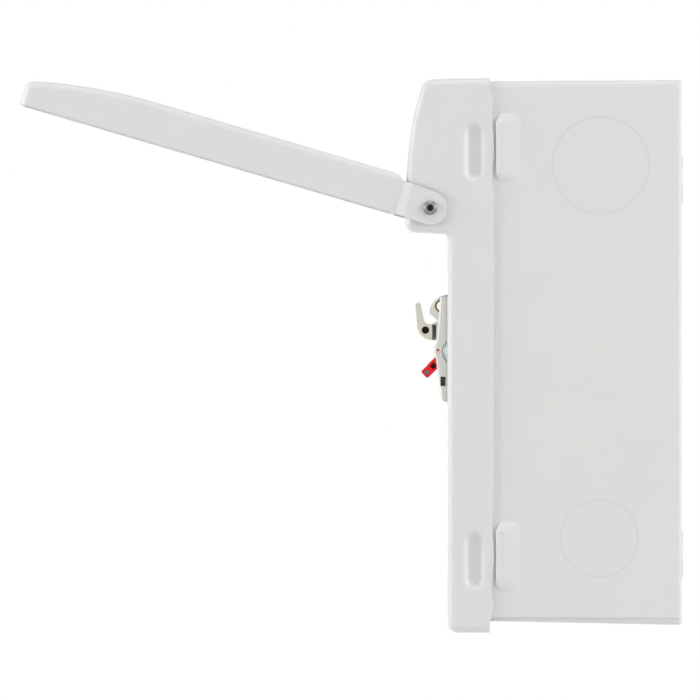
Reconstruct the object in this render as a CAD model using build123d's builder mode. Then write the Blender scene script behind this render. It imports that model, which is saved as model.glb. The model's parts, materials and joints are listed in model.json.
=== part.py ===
from build123d import *

import os
from math import cos, radians, sin

# Switch fuse unit: a metal-clad box with a lid flap raised over a two-pole isolator and a fuse holder.
# Millimetres, +Z up, front towards -Y. The origin is on the wall, at the centre of the four wall fixings.
# A depth is a distance from the wall towards the front.

# Wall fixings and sheet metal
fixing_pitch_x = 94.0
fixing_pitch_z = 157.8
fixing_hole_radius = 2.75
boss_radius = 10.0
boss_height = 0.7
boss_slope = 35.0
sheet = 1.0
sheet_gap = 0.2

# Front cover
cover_width = 130.0
cover_height = 233.1
cover_bottom = -111.6
cover_depth = 99.0
skirt_width = 19.7
edge_radius = 3.0
front_corner_radius = 4.0
hood_height = 65.3
hood_rise = 17.6
hood_corner_share = 0.2
hood_top_radius = 5.0
hood_under_rise = 0.8
hood_bow_start = 6.3
hood_bow_middle = 35.7
hood_bow_middle_back = 1.4
hood_top_back = 7.8
hood_top_fall = 0.7
skirt_overrun = 10.0

# Dimples pressed into the cover's skirts, and stop pads pressed out of the box's sides behind them
upper_dimple_drop = 31.3
lower_dimple_rise = 30.2
dimple_press = 1.8
dimple_slope = 40.0
dimple_width = 9.4
dimple_height = 24.6
dimple_setback = 8.4
dimple_rim_radius = 2.4
dimple_floor_radius = 1.9
pad_lift = 1.8
pad_rise = 1.8
pad_flat = 3.4
pad_width = 10.7
pad_height = 29.4
pad_end_run = 3.8
pad_gap = 0.5
pad_lead = 0.4
pad_corner_radius = 4.0
pad_crest_radius = 1.4
pad_edge_radius = 0.7
wave_length = 40.0
wave_end = 12.4
wave_end_depth = 0.85
wave_middle_depth = 0.1
relief_length = 10.0
relief_knee = 4.2
relief_depth = 2.0

# Back box
box_side_step = 1.15
skirt_lap = 3.2
box_top_drop = 1.0
box_top_fall = 0.55
box_bottom_rise = 3.2
box_bottom_climb = 1.7
box_bend_radius = 3.0
box_back_bend_radius = 1.6
lip_height = 7.2
lip_step = 2.0
knockout_line = 0.5
knockout_score = 0.06
upper_knockout_radius = 20.25
upper_knockout_depth = 34.7
upper_knockout_drop = 36.8
lower_knockout_radius = 16.25
lower_knockout_depth = 35.2
lower_knockout_rise = 39.5
end_knockout_radius = 12.75
end_knockout_pitch = 50.0
end_knockout_depth = 40.0

# Cover screws and the pillars that they screw into
cover_screw_pitch_x = 100.0
upper_screw_below_hood = 15.2
lower_screw_rise = 18.6
screw_recess_radius = 5.5
screw_recess_press = 1.6
screw_radius = 2.0
screw_clearance = 0.2
screw_head_radius = 3.8
screw_head_height = 1.5
screw_grip = 12.0
pillar_radius = 4.0

# Lid flap, drawn along its own length from the pivot
pivot_setback = 10.3
pivot_below_top = 54.7
lid_open_angle = 16.34
lid_tip_gap = 0.7
lid_flush_gap = 0.2
lid_face_gap = 0.66
lid_end_wall = 13.8
lid_flat_length = 122.6
lid_tip_fall = 6.6
lid_hinge_corner_radius = 5.0
lid_tip_corner_radius = 4.0
lid_overrun = 10.0
ear_radius = 7.3
ear_rise = 7.9
ear_root = 18.0
joggle_start = 13.4
joggle_end = 9.8
joggle_lag = 0.2
pivot_radius = 2.0
pivot_clearance = 0.06
pivot_head_radius = 2.95
pivot_head_height = 1.6
pivot_socket_radius = 1.45
pivot_socket_depth = 1.1
washer_radius = 4.6
washer_thickness = 0.5
washer_gap = 0.1
nut_across_flats = 7.0
nut_height = 3.2

# Rail that carries the switch and the fuse holder
device_z = 7.45
rail_setback = 55.0
rail_width = 35.0
rail_height = 7.5
rail_throat = 27.0
rail_sheet = 1.0
rail_bend_radius = 0.9
rail_length = 100.0
bracket_clearance = 1.0
bracket_width = 12.0
bracket_sheet = 1.5
bracket_bend_radius = 1.6
bracket_top_width = 26.0
bracket_foot = 12.0
rail_screw_head_height = 2.0
rail_screw_length = 8.0

# Shared body of the switch and the fuse holder
module_width = 17.7
module_gap = 0.2
body_height = 85.0
body_behind_rail = 5.0
shoulder_above_rail = 44.0
nose_height = 44.3
case_wall = 1.6
case_floor_reach = 6.0
case_edge = 0.6
rail_play = 0.1
hook_reach = 1.5
hook_slot = 1.2
aperture_clearance = 1.0
aperture_corner_radius = 1.0

# Rail clips
clip_width = 6.4
clip_thickness = 3.4
clip_clearance = 0.3
clip_tail = 4.0
clip_pull_radius = 1.2

# Terminals
terminal_height = 9.0
terminal_width = 10.0
terminal_depth = 12.0
terminal_back_reach = 18.0
terminal_wall = 1.4
terminal_screw_head_radius = 2.9
terminal_screw_head_height = 3.0
terminal_screw_radius = 1.9
driver_slot = 0.9
terminal_screw_sink = 2.2
terminal_hole_radius = 3.3
wire_entry_width = 8.0

# Switch nose
switch_nose_top_reach = 57.9
switch_nose_reach = 59.4
switch_nose_flat_end = 3.6
switch_bulge_reach = 60.7
switch_bulge_top = 0.4
switch_bulge_bottom = -1.4
switch_bulge_lag = 0.4
switch_nose_lower = -3.9
switch_nose_bottom_reach = 57.6
switch_corner_radius = 1.0

# Switch mechanism
toggle_setback = 7.9
toggle_z = 6.3
toggle_travel = 72.0
toggle_tilt = 43.5
toggle_width = 11.0
toggle_barrel_radius = 7.6
toggle_length = 16.4
toggle_low = 0.1
toggle_root_thickness = 4.2
toggle_tip_thickness = 4.0
toggle_step = 12.2
toggle_pocket_reach = 10.9
toggle_pocket_length = 2.2
toggle_pocket_height = 2.0
toggle_pocket_depth = 3.0
toggle_tip_radius = 0.8
toggle_slot_clearance = 0.5
toggle_slot_reach = 11.0
tie_pin_radius = 1.05
tie_pin_reach = 14.9
spindle_radius = 2.5
spindle_clearance = 0.06
hub_radius = 5.3
hub_thickness = 0.6
hub_recess_radius = 5.7
hub_recess = 0.8
blade_length = 20.0
blade_thickness = 3.0
blade_width = 6.0
blade_root_radius = 4.2
contact_gap = 0.3
strip_thickness = 1.2
strip_width = 6.0
strip_bend_radius = 0.9
line_strip_rise = 17.2
load_contact_reach = 17.0
load_contact_radius = 2.0
load_strip_bend = 2.4
rivet_radius = 1.4
rivet_inset = 3.0
nose_rivet_reach = 46.0
upper_nose_rivet = 12.5
lower_nose_rivet = 17.0
indicator_radius = 0.6
indicator_reach = 58.9
indicator_z = 7.1
indicator_length = 1.4
side_slot_width = 2.1
side_slot_height = 4.0
side_slot_reach = 56.85
side_slot_z = -6.1
side_slot_recess = 5.0

# Fuse holder
fuse_nose_reach = 56.6
carrier_width = 13.0
carrier_height = 38.4
carrier_plate = 2.4
carrier_proud = 0.8
carrier_clearance = 0.15
carrier_grip_height = 15.0
carrier_grip_past = 2.2
handle_width = 10.0
handle_bottom = 11.3
handle_heel_reach = 61.2
handle_front_reach = 67.6
handle_heel_top = 17.2
handle_lean = 0.7
handle_top = 27.1
handle_tip = 1.2
handle_tip_width = 2.4
handle_throat_front_reach = 64.8
handle_throat_top = 20.2
handle_throat_reach = 62.4
handle_throat_bottom = 17.9
handle_neck_reach = 59.4
handle_neck_top = 19.1
handle_pin_radius = 1.57
handle_pin_reach = 64.1
handle_pin_z = 15.5
handle_pocket_reach = 60.4
handle_pocket_z = 14.3
handle_pocket_width = 1.7
handle_pocket_height = 7.0
handle_pocket_sink = 3.6
lobe_reach = 54.6
lobe_z = 22.6
lobe_radius = 7.8
lobe_clearance = 0.3
lobe_beak_run = 8.9
lobe_beak_fall = 8.0
ferrule_reach = 57.3
ferrule_z = 25.7
ferrule_radius = 2.85
ferrule_bore = 2.0
link_reach = 44.0
link_length = 38.0
link_radius = 5.0
cap_radius = 5.15
cap_length = 10.0
cap_end = 1.0
jaw_wall = 0.8
jaw_clearance = 0.05
jaw_height = 8.0
jaw_reach = 4.0
jaw_bend_radius = 0.9
jaw_strip_rise = 10.0

# Copper straps between the switch and the fuse holder, and the earth bar
strap_thickness = 1.6
strap_width = 6.0
strap_corner_radius = 3.4
strap_spacing = 5.2
live_strap_drop = 5.0
neutral_strap_drop = 8.6
strap_insert = 7.0
earth_bar_length = 60.0
earth_bar_side = 8.0
earth_bar_z = -80.0
earth_bar_depth = 16.0
earth_way_count = 5
earth_way_pitch = 10.0
earth_way_radius = 2.1
earth_bar_chamfer = 0.6
earth_screw_radius = 1.5
earth_screw_head_radius = 2.4
earth_screw_head_height = 2.0
earth_post_pitch = 50.0
earth_post_radius = 3.0

# Places worked out from the sizes above
cover_top = cover_bottom + cover_height
skirt_edge_depth = cover_depth - skirt_width
rail_depth = cover_depth - rail_setback
half_cover = cover_width / 2
hood_under = cover_top - hood_height
hood_depth = cover_depth + hood_rise
hood_corner_radius = hood_rise * hood_corner_share
half_box = half_cover - box_side_step
half_lip = half_box - lip_step
box_back = boss_height
box_front = skirt_edge_depth + skirt_lap
lip_depth = skirt_edge_depth + lip_height
dimple_depth = skirt_edge_depth + dimple_setback
upper_dimple_z = cover_top - upper_dimple_drop
lower_dimple_z = cover_bottom + lower_dimple_rise
pad_front_depth = skirt_edge_depth - pad_gap
pad_rear_depth = pad_front_depth - pad_width
upper_knockout_z = cover_top - upper_knockout_drop
lower_knockout_z = cover_bottom + lower_knockout_rise
back_inside = box_back + sheet
pivot_z = cover_top - pivot_below_top
pivot_depth = hood_depth - pivot_setback
upper_screw_z = hood_under - upper_screw_below_hood
lower_screw_z = cover_bottom + lower_screw_rise
recess_floor_depth = cover_depth - screw_recess_press
pillar_end_depth = recess_floor_depth - sheet
lid_reach = pivot_z - cover_bottom - lid_tip_gap
lid_skin = hood_depth - pivot_depth - lid_flush_gap
lid_edge = cover_depth - pivot_depth + lid_face_gap
ear_inside = half_cover + washer_thickness + washer_gap
ear_outside = ear_inside + sheet
shoulder_depth = rail_depth + shoulder_above_rail
body_back_depth = rail_depth - body_behind_rail
case_floor_depth = rail_depth + case_floor_reach
terminal_back_depth = rail_depth + terminal_back_reach
switch_nose_top_depth = rail_depth + switch_nose_top_reach
switch_nose_depth = rail_depth + switch_nose_reach
switch_bulge_depth = rail_depth + switch_bulge_reach
switch_nose_bottom_depth = rail_depth + switch_nose_bottom_reach
nose_rivet_depth = rail_depth + nose_rivet_reach
indicator_depth = rail_depth + indicator_reach
side_slot_depth = rail_depth + side_slot_reach
fuse_nose_depth = rail_depth + fuse_nose_reach
handle_heel = rail_depth + handle_heel_reach
handle_front = rail_depth + handle_front_reach
handle_throat_front = rail_depth + handle_throat_front_reach
handle_throat = rail_depth + handle_throat_reach
handle_neck = rail_depth + handle_neck_reach
handle_pin_depth = rail_depth + handle_pin_reach
handle_pocket_depth = rail_depth + handle_pocket_reach
lobe_depth = rail_depth + lobe_reach
ferrule_depth = rail_depth + ferrule_reach
link_depth = rail_depth + link_reach
toggle_depth = switch_nose_depth - toggle_setback
device_width = 2 * module_width
switch_inner = module_gap / 2
switch_middle = switch_inner + module_width
switch_outer = switch_inner + device_width
switch_poles = (switch_inner + module_width / 2, switch_outer - module_width / 2)
fuse_way = -switch_outer + module_width / 2
neutral_way = -switch_inner - module_width / 2
rail_web_depth = rail_depth - rail_height
half_body = body_height / 2
half_nose = nose_height / 2
half_cavity = half_body - case_wall
shoulder_inside = shoulder_depth - case_wall
terminal_end = half_cavity - terminal_height
terminal_front_depth = terminal_back_depth + terminal_depth
terminal_middle = half_cavity - terminal_height / 2
live_strap_depth = terminal_back_depth + terminal_wall + strap_thickness / 2
neutral_strap_depth = live_strap_depth + strap_spacing
terminal_screw_tip_depth = neutral_strap_depth + strap_thickness / 2
bracket_pitch = cover_screw_pitch_x - 2 * (pillar_radius + bracket_clearance) - bracket_width

# Side views are drawn with depth to the right and height up, seen against X
side = Plane(origin=(0, 0, 0), x_dir=(0, -1, 0), z_dir=(-1, 0, 0))
lid_along = Vector(0, -cos(radians(lid_open_angle)), sin(radians(lid_open_angle)))
lid_out = Vector(0, sin(radians(lid_open_angle)), cos(radians(lid_open_angle)))
pivot = Vector(0, -pivot_depth, pivot_z)
lid_side = Plane(origin=pivot, x_dir=lid_along, z_dir=(-1, 0, 0))


def side_at(x):
    """Side-view plane at x; an extrusion by a positive amount runs towards -X."""
    return side.offset(-x)


def front_at(depth):
    """Front-view plane at a depth; an extrusion by a positive amount runs towards the front."""
    return Plane.XZ.offset(depth)


def nearest(vertices, x, y):
    """The sketch corner nearest to a point."""
    return vertices.sort_by_distance((x, y, 0))[0]


def roof(depth):
    """Height of the box's top panel at a depth."""
    return cover_top - box_top_drop - box_top_fall * (depth - box_back) / (lip_depth - box_back)


def floor(depth):
    """Height of the box's bottom panel at a depth."""
    return cover_bottom + box_bottom_rise + box_bottom_climb * (depth - box_back) / (lip_depth - box_back)


def tray(half_width, back, front, inset):
    """Box form between two depths, with its bends, drawn in by an inset all round."""
    with BuildPart() as form:
        with BuildSketch(side):
            with BuildLine():
                Polyline(
                    (back, roof(back) - inset),
                    (front, roof(front) - inset),
                    (front, floor(front) + inset),
                    (back, floor(back) + inset),
                    close=True,
                )
            make_face()
        extrude(amount=half_width, both=True)
        back_edges = form.faces().sort_by(Axis.Y)[-1].edges()
        front_edges = form.faces().sort_by(Axis.Y)[0].edges()
        long_edges = form.edges().filter_by(Axis.X, reverse=True) - back_edges - front_edges
        fillet(long_edges, box_bend_radius - inset)
        fillet(form.faces().sort_by(Axis.Y)[-1].edges(), box_back_bend_radius - inset)
    return form.part


def dimple_pair(plane, width, height):
    """Outlines of an upper and a lower upright dimple on a skirt."""
    with BuildSketch(plane) as outlines:
        with Locations((dimple_depth, upper_dimple_z), (dimple_depth, lower_dimple_z)):
            SlotOverall(height, width, rotation=90)
    return outlines.sketch


def dimple_near(point):
    """Whether a point lies on the outline of a dimple."""
    height_gap = min(abs(point.Z - upper_dimple_z), abs(point.Z - lower_dimple_z))
    return abs(-point.Y - dimple_depth) < dimple_width / 2 and height_gap < dimple_height / 2


def nearest_face(faces, x):
    """The face whose centre is nearest to x."""
    return faces.sort_by(lambda face: abs(face.center().X - x))[0]


def stop_pad(hand, pad_z, inset):
    """Pad that is steep towards the skirt and slopes off on its other sides, drawn in by an inset."""
    foot = hand * (half_box - inset)
    crest = foot + hand * pad_rise
    front = pad_front_depth - inset
    foot_width = front - pad_rear_depth
    with BuildPart() as pad:
        with BuildSketch(Plane(origin=(foot, -front, pad_z), x_dir=(0, 1, 0), z_dir=(hand, 0, 0))) as outline:
            with Locations((foot_width / 2, 0)):
                RectangleRounded(foot_width, pad_height, pad_corner_radius)
        with BuildSketch(Plane(origin=(crest, -front, pad_z), x_dir=(0, 1, 0), z_dir=(hand, 0, 0))):
            with Locations((pad_lead + pad_flat / 2, 0)):
                RectangleRounded(pad_flat, pad_height - 2 * pad_end_run, pad_crest_radius)
        loft()
        fillet(nearest_face(pad.faces(), crest).edges(), pad_edge_radius - inset / 2)
        extrude(outline.sketch, amount=-sheet / 2)
    return pad.part


def knockout_ring(plane, place, radius):
    """Outline of a knock-out's scored ring."""
    with BuildSketch(plane) as ring:
        with Locations(place):
            Circle(radius + knockout_line / 2)
            Circle(radius - knockout_line / 2, mode=Mode.SUBTRACT)
    return ring.sketch


def discs(depth, places, radius):
    """Round outlines at front-view places."""
    with BuildSketch(front_at(depth)) as outlines:
        with Locations(*places):
            Circle(radius)
    return outlines.sketch


# Back box
fixing_places = GridLocations(fixing_pitch_x, fixing_pitch_z, 2, 2).local_locations
box_outside = tray(half_box, box_back, box_front, 0)
box_inside = tray(half_box - sheet, back_inside, box_front - sheet, sheet)
lip_outside = tray(half_lip, back_inside, lip_depth, 0)
lip_inside = tray(half_lip - sheet, back_inside, lip_depth + sheet, sheet)

with BuildPart() as back_box:
    add(box_outside)
    add(lip_outside)
    add(box_inside, mode=Mode.SUBTRACT)
    add(lip_inside, mode=Mode.SUBTRACT)
    extrude(discs(box_back, fixing_places, boss_radius), amount=-boss_height, taper=boss_slope)
    boss_hollows = discs(back_inside, fixing_places, boss_radius - sheet / 2)
    extrude(boss_hollows, amount=-boss_height, taper=boss_slope, mode=Mode.SUBTRACT)
    fixing_holes = discs(back_inside, fixing_places, fixing_hole_radius)
    extrude(fixing_holes, amount=-back_inside, mode=Mode.SUBTRACT)
    for hand in (1, -1):
        for dimple_z in (upper_dimple_z, lower_dimple_z):
            add(stop_pad(hand, dimple_z + pad_lift, 0))
            add(stop_pad(hand, dimple_z + pad_lift, sheet), mode=Mode.SUBTRACT)
        wall_plane = side_at(hand * half_box)
        upper_place = (upper_knockout_depth, upper_knockout_z)
        lower_place = (lower_knockout_depth, lower_knockout_z)
        for place, radius in ((upper_place, upper_knockout_radius), (lower_place, lower_knockout_radius)):
            ring = knockout_ring(wall_plane, place, radius)
            extrude(ring, amount=hand * knockout_score, mode=Mode.SUBTRACT)
        end_place = (hand * end_knockout_pitch / 2, -end_knockout_depth)
        roof_cut = Plane.XY.offset(roof(end_knockout_depth) - knockout_score)
        floor_cut = Plane.XY.offset(floor(end_knockout_depth) + knockout_score)
        extrude(knockout_ring(roof_cut, end_place, end_knockout_radius), amount=sheet, mode=Mode.SUBTRACT)
        extrude(knockout_ring(floor_cut, end_place, end_knockout_radius), amount=-sheet, mode=Mode.SUBTRACT)
back_box.part.label = "back_box"


# Front cover: one pressing with a bowed hood over its top part
def cover_form(inset):
    """Cover form closed at the rear, drawn in by an inset all round."""
    rear = skirt_edge_depth - skirt_overrun
    bow_foot = (hood_depth, hood_under + hood_bow_start)
    bow_middle = (hood_depth - hood_bow_middle_back, hood_under + hood_bow_middle)
    hood_top = (hood_depth - hood_top_back, cover_top - hood_top_fall)
    hood_lip = (hood_depth, hood_under + hood_under_rise)
    with BuildPart() as form:
        with BuildSketch(side) as outline:
            with BuildLine():
                lower_bow = TangentArc(bow_foot, bow_middle, tangent=(0, 1))
                TangentArc(bow_middle, hood_top, tangent=lower_bow % 1)
                Polyline(hood_top, (rear, cover_top), (rear, cover_bottom), (cover_depth, cover_bottom))
                Polyline((cover_depth, cover_bottom), (cover_depth, hood_under), hood_lip, bow_foot)
            make_face()
            fillet(nearest(outline.vertices(), *hood_top), hood_top_radius)
            hood_corners = [
                nearest(outline.vertices(), *hood_lip),
                nearest(outline.vertices(), cover_depth, hood_under),
            ]
            fillet(hood_corners, hood_corner_radius)
            fillet(nearest(outline.vertices(), cover_depth, cover_bottom), front_corner_radius)
            if inset:
                offset(amount=-inset)
        extrude(amount=half_cover - inset, both=True)
        side_faces = form.faces().filter_by(Axis.X)
        long_edges = side_faces.edges().filter_by(lambda edge: -edge.center().Y > rear + sheet + inset)
        fillet(long_edges, edge_radius - inset)
    return form.part


cover_outside = cover_form(0)
cover_inside = cover_form(sheet)
screw_places = [(x, z) for x in (cover_screw_pitch_x / 2, -cover_screw_pitch_x / 2)
                for z in (upper_screw_z, lower_screw_z)]

with BuildPart() as front_cover:
    add(cover_outside)
    add(cover_inside, mode=Mode.SUBTRACT)
    split(bisect_by=front_at(skirt_edge_depth), keep=Keep.TOP)
    for hand in (1, -1):
        press = hand * dimple_press
        bumps = dimple_pair(side_at(hand * (half_cover - sheet)), dimple_width, dimple_height)
        extrude(bumps, amount=press, taper=dimple_slope)
        dents = dimple_pair(side_at(hand * half_cover), dimple_width - sheet, dimple_height - sheet)
        extrude(dents, amount=press, taper=dimple_slope, mode=Mode.SUBTRACT)
        rim_x = hand * half_cover
        for x, radius in ((rim_x, dimple_rim_radius), (rim_x - press, dimple_floor_radius)):
            flat_edges = front_cover.edges().filter_by_position(Axis.X, x - sheet_gap / 2, x + sheet_gap / 2)
            fillet(flat_edges.filter_by(lambda edge: dimple_near(edge.center())), radius)
    for dimple_z in (upper_dimple_z, lower_dimple_z):
        wave_z = dimple_z + pad_lift
        with BuildSketch(side):
            with BuildLine():
                low = (skirt_edge_depth, wave_z - wave_length / 2)
                high = (skirt_edge_depth, wave_z + wave_length / 2)
                low_end = (skirt_edge_depth + wave_end_depth, wave_z - wave_end)
                high_end = (skirt_edge_depth + wave_end_depth, wave_z + wave_end)
                Spline(low, low_end, (skirt_edge_depth + wave_middle_depth, wave_z), high_end, high)
                Line(high, low)
            make_face()
        extrude(amount=half_cover, both=True, mode=Mode.SUBTRACT)
    for corner, inward in ((cover_top, -1), (cover_bottom, 1)):
        with BuildSketch(side):
            with BuildLine():
                Polyline(
                    (skirt_edge_depth, corner + inward * relief_length),
                    (skirt_edge_depth + relief_depth, corner + inward * relief_knee),
                    (skirt_edge_depth + relief_depth, corner - inward * sheet),
                    (skirt_edge_depth, corner - inward * sheet),
                    close=True,
                )
            make_face()
        extrude(amount=half_cover, both=True, mode=Mode.SUBTRACT)
    with BuildSketch(front_at(cover_depth)) as aperture:
        with Locations((0, device_z)):
            Rectangle(2 * switch_outer + 2 * aperture_clearance, nose_height + 2 * aperture_clearance)
        fillet(aperture.vertices(), aperture_corner_radius)
    extrude(amount=-2 * sheet, mode=Mode.SUBTRACT)
    recess_backs = discs(cover_depth - sheet, screw_places, screw_recess_radius + sheet)
    extrude(recess_backs, amount=-screw_recess_press)
    recesses = discs(cover_depth, screw_places, screw_recess_radius)
    extrude(recesses, amount=-screw_recess_press, mode=Mode.SUBTRACT)
    screw_holes = discs(cover_depth, screw_places, screw_radius + screw_clearance)
    extrude(screw_holes, amount=pillar_end_depth - cover_depth, mode=Mode.SUBTRACT)
    with BuildSketch(side):
        with Locations((pivot_depth, pivot_z)):
            Circle(pivot_radius + pivot_clearance)
    extrude(amount=half_cover, both=True, mode=Mode.SUBTRACT)
front_cover.part.label = "front_cover"

# Pillars on the back panel, and the screws that pull the cover onto them
with BuildPart() as cover_pillars:
    extrude(discs(back_inside, screw_places, pillar_radius), amount=pillar_end_depth - back_inside)
    tapped_holes = discs(pillar_end_depth, screw_places, screw_radius)
    extrude(tapped_holes, amount=-screw_grip, mode=Mode.SUBTRACT)
cover_pillars.part.label = "cover_pillars"

with BuildPart() as cover_screws:
    extrude(discs(recess_floor_depth, screw_places, screw_head_radius), amount=screw_head_height)
    head_rims = cover_screws.faces().filter_by(Axis.Y).group_by(Axis.Y)[0].edges()
    fillet(head_rims, screw_head_height / 2)
    extrude(discs(recess_floor_depth, screw_places, screw_radius), amount=-screw_grip)
cover_screws.part.label = "cover_screws"

# Lid flap: a tray open towards the cover, hung on two ears outside the hood
def lid_form(inset):
    """Lid form closed on its open side, drawn in by an inset all round."""
    low = lid_edge - lid_overrun
    flat_end = (lid_flat_length, lid_skin)
    tip = (lid_reach, lid_skin - lid_tip_fall)
    with BuildPart() as form:
        with BuildSketch(lid_side) as outline:
            with BuildLine():
                Polyline((lid_reach, low), (lid_end_wall, low), (lid_end_wall, lid_skin), flat_end)
                TangentArc(flat_end, tip, tangent=(1, 0))
                Line(tip, (lid_reach, low))
            make_face()
            fillet(nearest(outline.vertices(), lid_end_wall, lid_skin), lid_hinge_corner_radius)
            fillet(nearest(outline.vertices(), *tip), lid_tip_corner_radius)
            if inset:
                offset(amount=-inset)
        extrude(amount=half_cover - inset, both=True)
        outline_edges = form.faces().filter_by(Axis.X).edges()
        outer_edges = outline_edges.filter_by(
            lambda edge: lid_side.to_local_coords(edge.center()).Y > low + inset + sheet
        )
        fillet(outer_edges, edge_radius - inset)
    return form.part


def ear(hand):
    """Hinge ear that steps out from the tray's side wall and ends round the pivot."""
    plan = Plane(origin=pivot - lid_out * ear_radius, x_dir=lid_along, z_dir=lid_out)
    with BuildPart() as plate:
        with BuildSketch(plan):
            with BuildLine():
                Polyline(
                    (-ear_radius, hand * ear_inside),
                    (-ear_radius, hand * ear_outside),
                    (joggle_end, hand * ear_outside),
                    (joggle_start, hand * half_cover),
                    (ear_root, hand * half_cover),
                    (ear_root, hand * (half_cover - sheet)),
                    (joggle_start - joggle_lag, hand * (half_cover - sheet)),
                    (joggle_end - joggle_lag, hand * ear_inside),
                    close=True,
                )
            make_face()
        extrude(amount=ear_radius + ear_rise)
        with BuildSketch(lid_side):
            Circle(ear_radius)
            with BuildLine():
                Polyline(
                    (0, ear_radius),
                    (joggle_start, ear_rise),
                    (ear_root, ear_rise),
                    (ear_root, lid_edge),
                    (joggle_end, lid_edge),
                    (0, -ear_radius),
                    close=True,
                )
            make_face()
        extrude(amount=ear_outside, both=True, mode=Mode.INTERSECT)
    return plate.part


lid_outside = lid_form(0)
lid_inside = lid_form(sheet)
lid_ears = [ear(1), ear(-1)]
lid_edge_plane = Plane(origin=pivot + lid_out * lid_edge, x_dir=lid_along, z_dir=lid_out)

with BuildPart() as lid_flap:
    add(lid_outside)
    add(lid_inside, mode=Mode.SUBTRACT)
    split(bisect_by=lid_edge_plane, keep=Keep.TOP)
    add(lid_ears)
    with BuildSketch(lid_side):
        Circle(pivot_radius + pivot_clearance)
    extrude(amount=ear_outside, both=True, mode=Mode.SUBTRACT)
lid_flap.part.label = "lid_flap"

# Lid pivots: a screw through each ear, a friction washer and a nut inside the hood
pivot_place = (pivot_depth, pivot_z)


def round_at(x, place, radius):
    """Round side-view outline at x."""
    with BuildSketch(side_at(x)) as outline:
        with Locations(place):
            Circle(radius)
    return outline.sketch


def ring_at(x, place, radius, bore):
    """Ring-shaped side-view outline at x."""
    with BuildSketch(side_at(x)) as outline:
        with Locations(place):
            Circle(radius)
            Circle(bore, mode=Mode.SUBTRACT)
    return outline.sketch


with BuildPart() as lid_pivot_screws:
    for hand in (1, -1):
        head_x = hand * (ear_outside + pivot_clearance)
        shank_length = ear_outside + pivot_clearance - half_cover + sheet + nut_height
        extrude(round_at(head_x, pivot_place, pivot_head_radius), amount=-hand * pivot_head_height)
        extrude(round_at(head_x, pivot_place, pivot_radius), amount=hand * shank_length)
        with BuildSketch(side_at(head_x + hand * pivot_head_height)):
            with Locations(pivot_place):
                RegularPolygon(pivot_socket_radius, 6)
        extrude(amount=hand * pivot_socket_depth, mode=Mode.SUBTRACT)
    pivot_rims = lid_pivot_screws.edges().filter_by(GeomType.CIRCLE).group_by(Axis.X)
    fillet(pivot_rims[0] + pivot_rims[-1], pivot_head_height / 3)
lid_pivot_screws.part.label = "lid_pivot_screws"

with BuildPart() as lid_friction_washers:
    for hand in (1, -1):
        washer = ring_at(hand * half_cover, pivot_place, washer_radius, pivot_radius + pivot_clearance)
        extrude(washer, amount=-hand * washer_thickness)
lid_friction_washers.part.label = "lid_friction_washers"

with BuildPart() as lid_pivot_nuts:
    for hand in (1, -1):
        with BuildSketch(side_at(hand * (half_cover - sheet))):
            with Locations(pivot_place):
                RegularPolygon(nut_across_flats / 2, 6, major_radius=False)
                Circle(pivot_radius, mode=Mode.SUBTRACT)
        extrude(amount=hand * nut_height)
lid_pivot_nuts.part.label = "lid_pivot_nuts"


# Rail on two folded brackets
def folded(plane, points, radius, thickness):
    """Section of a folded strip along a centre line with rounded bends."""
    with BuildSketch(plane) as section:
        with BuildLine():
            FilletPolyline(*points, radius=radius)
        trace(line_width=thickness)
    return section.sketch


def both_ways(points):
    """A half outline from the outside in, and its mirror image about the devices' middle height."""
    upper = [(depth, device_z + height) for depth, height in points]
    lower = [(depth, device_z - height) for depth, height in reversed(points)]
    return upper + lower


rail_screw_places = [(bracket_pitch / 2, device_z), (-bracket_pitch / 2, device_z)]
flange_depth = rail_depth - rail_sheet / 2
web_depth = rail_web_depth + rail_sheet / 2
web_height = (rail_throat - rail_sheet) / 2
rail_line = both_ways([(flange_depth, rail_width / 2), (flange_depth, web_height), (web_depth, web_height)])

with BuildPart() as din_rail:
    extrude(folded(side, rail_line, rail_bend_radius, rail_sheet), amount=rail_length / 2, both=True)
    rail_holes = discs(rail_web_depth, rail_screw_places, screw_radius + screw_clearance)
    extrude(rail_holes, amount=rail_sheet, mode=Mode.SUBTRACT)
din_rail.part.label = "din_rail"

foot_depth = back_inside + bracket_sheet / 2
seat_depth = rail_web_depth - bracket_sheet / 2
half_seat = bracket_top_width / 2
bracket_line = both_ways(
    [(foot_depth, half_seat + bracket_foot), (foot_depth, half_seat), (seat_depth, half_seat)]
)

with BuildPart() as rail_brackets:
    for hand in (1, -1):
        bracket_edge = side_at(hand * bracket_pitch / 2 + bracket_width / 2)
        extrude(folded(bracket_edge, bracket_line, bracket_bend_radius, bracket_sheet), amount=bracket_width)
    tapped_holes = discs(rail_web_depth, rail_screw_places, screw_radius)
    extrude(tapped_holes, amount=-bracket_sheet, mode=Mode.SUBTRACT)
rail_brackets.part.label = "rail_brackets"

with BuildPart() as rail_screws:
    rail_top = rail_web_depth + rail_sheet
    extrude(discs(rail_top, rail_screw_places, screw_head_radius), amount=rail_screw_head_height)
    fillet(rail_screws.faces().group_by(Axis.Y)[0].edges(), rail_screw_head_height / 3)
    extrude(discs(rail_top, rail_screw_places, screw_radius), amount=-rail_screw_length)
rail_screws.part.label = "rail_screws"

# Earth bar on two posts
half_bar = earth_bar_side / 2
bar_front_depth = earth_bar_depth + earth_bar_side
first_way = -earth_way_pitch * (earth_way_count - 1) / 2
way_places = [(first_way + earth_way_pitch * way, earth_bar_z) for way in range(earth_way_count)]
post_places = [(earth_post_pitch / 2, earth_bar_z), (-earth_post_pitch / 2, earth_bar_z)]

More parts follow.
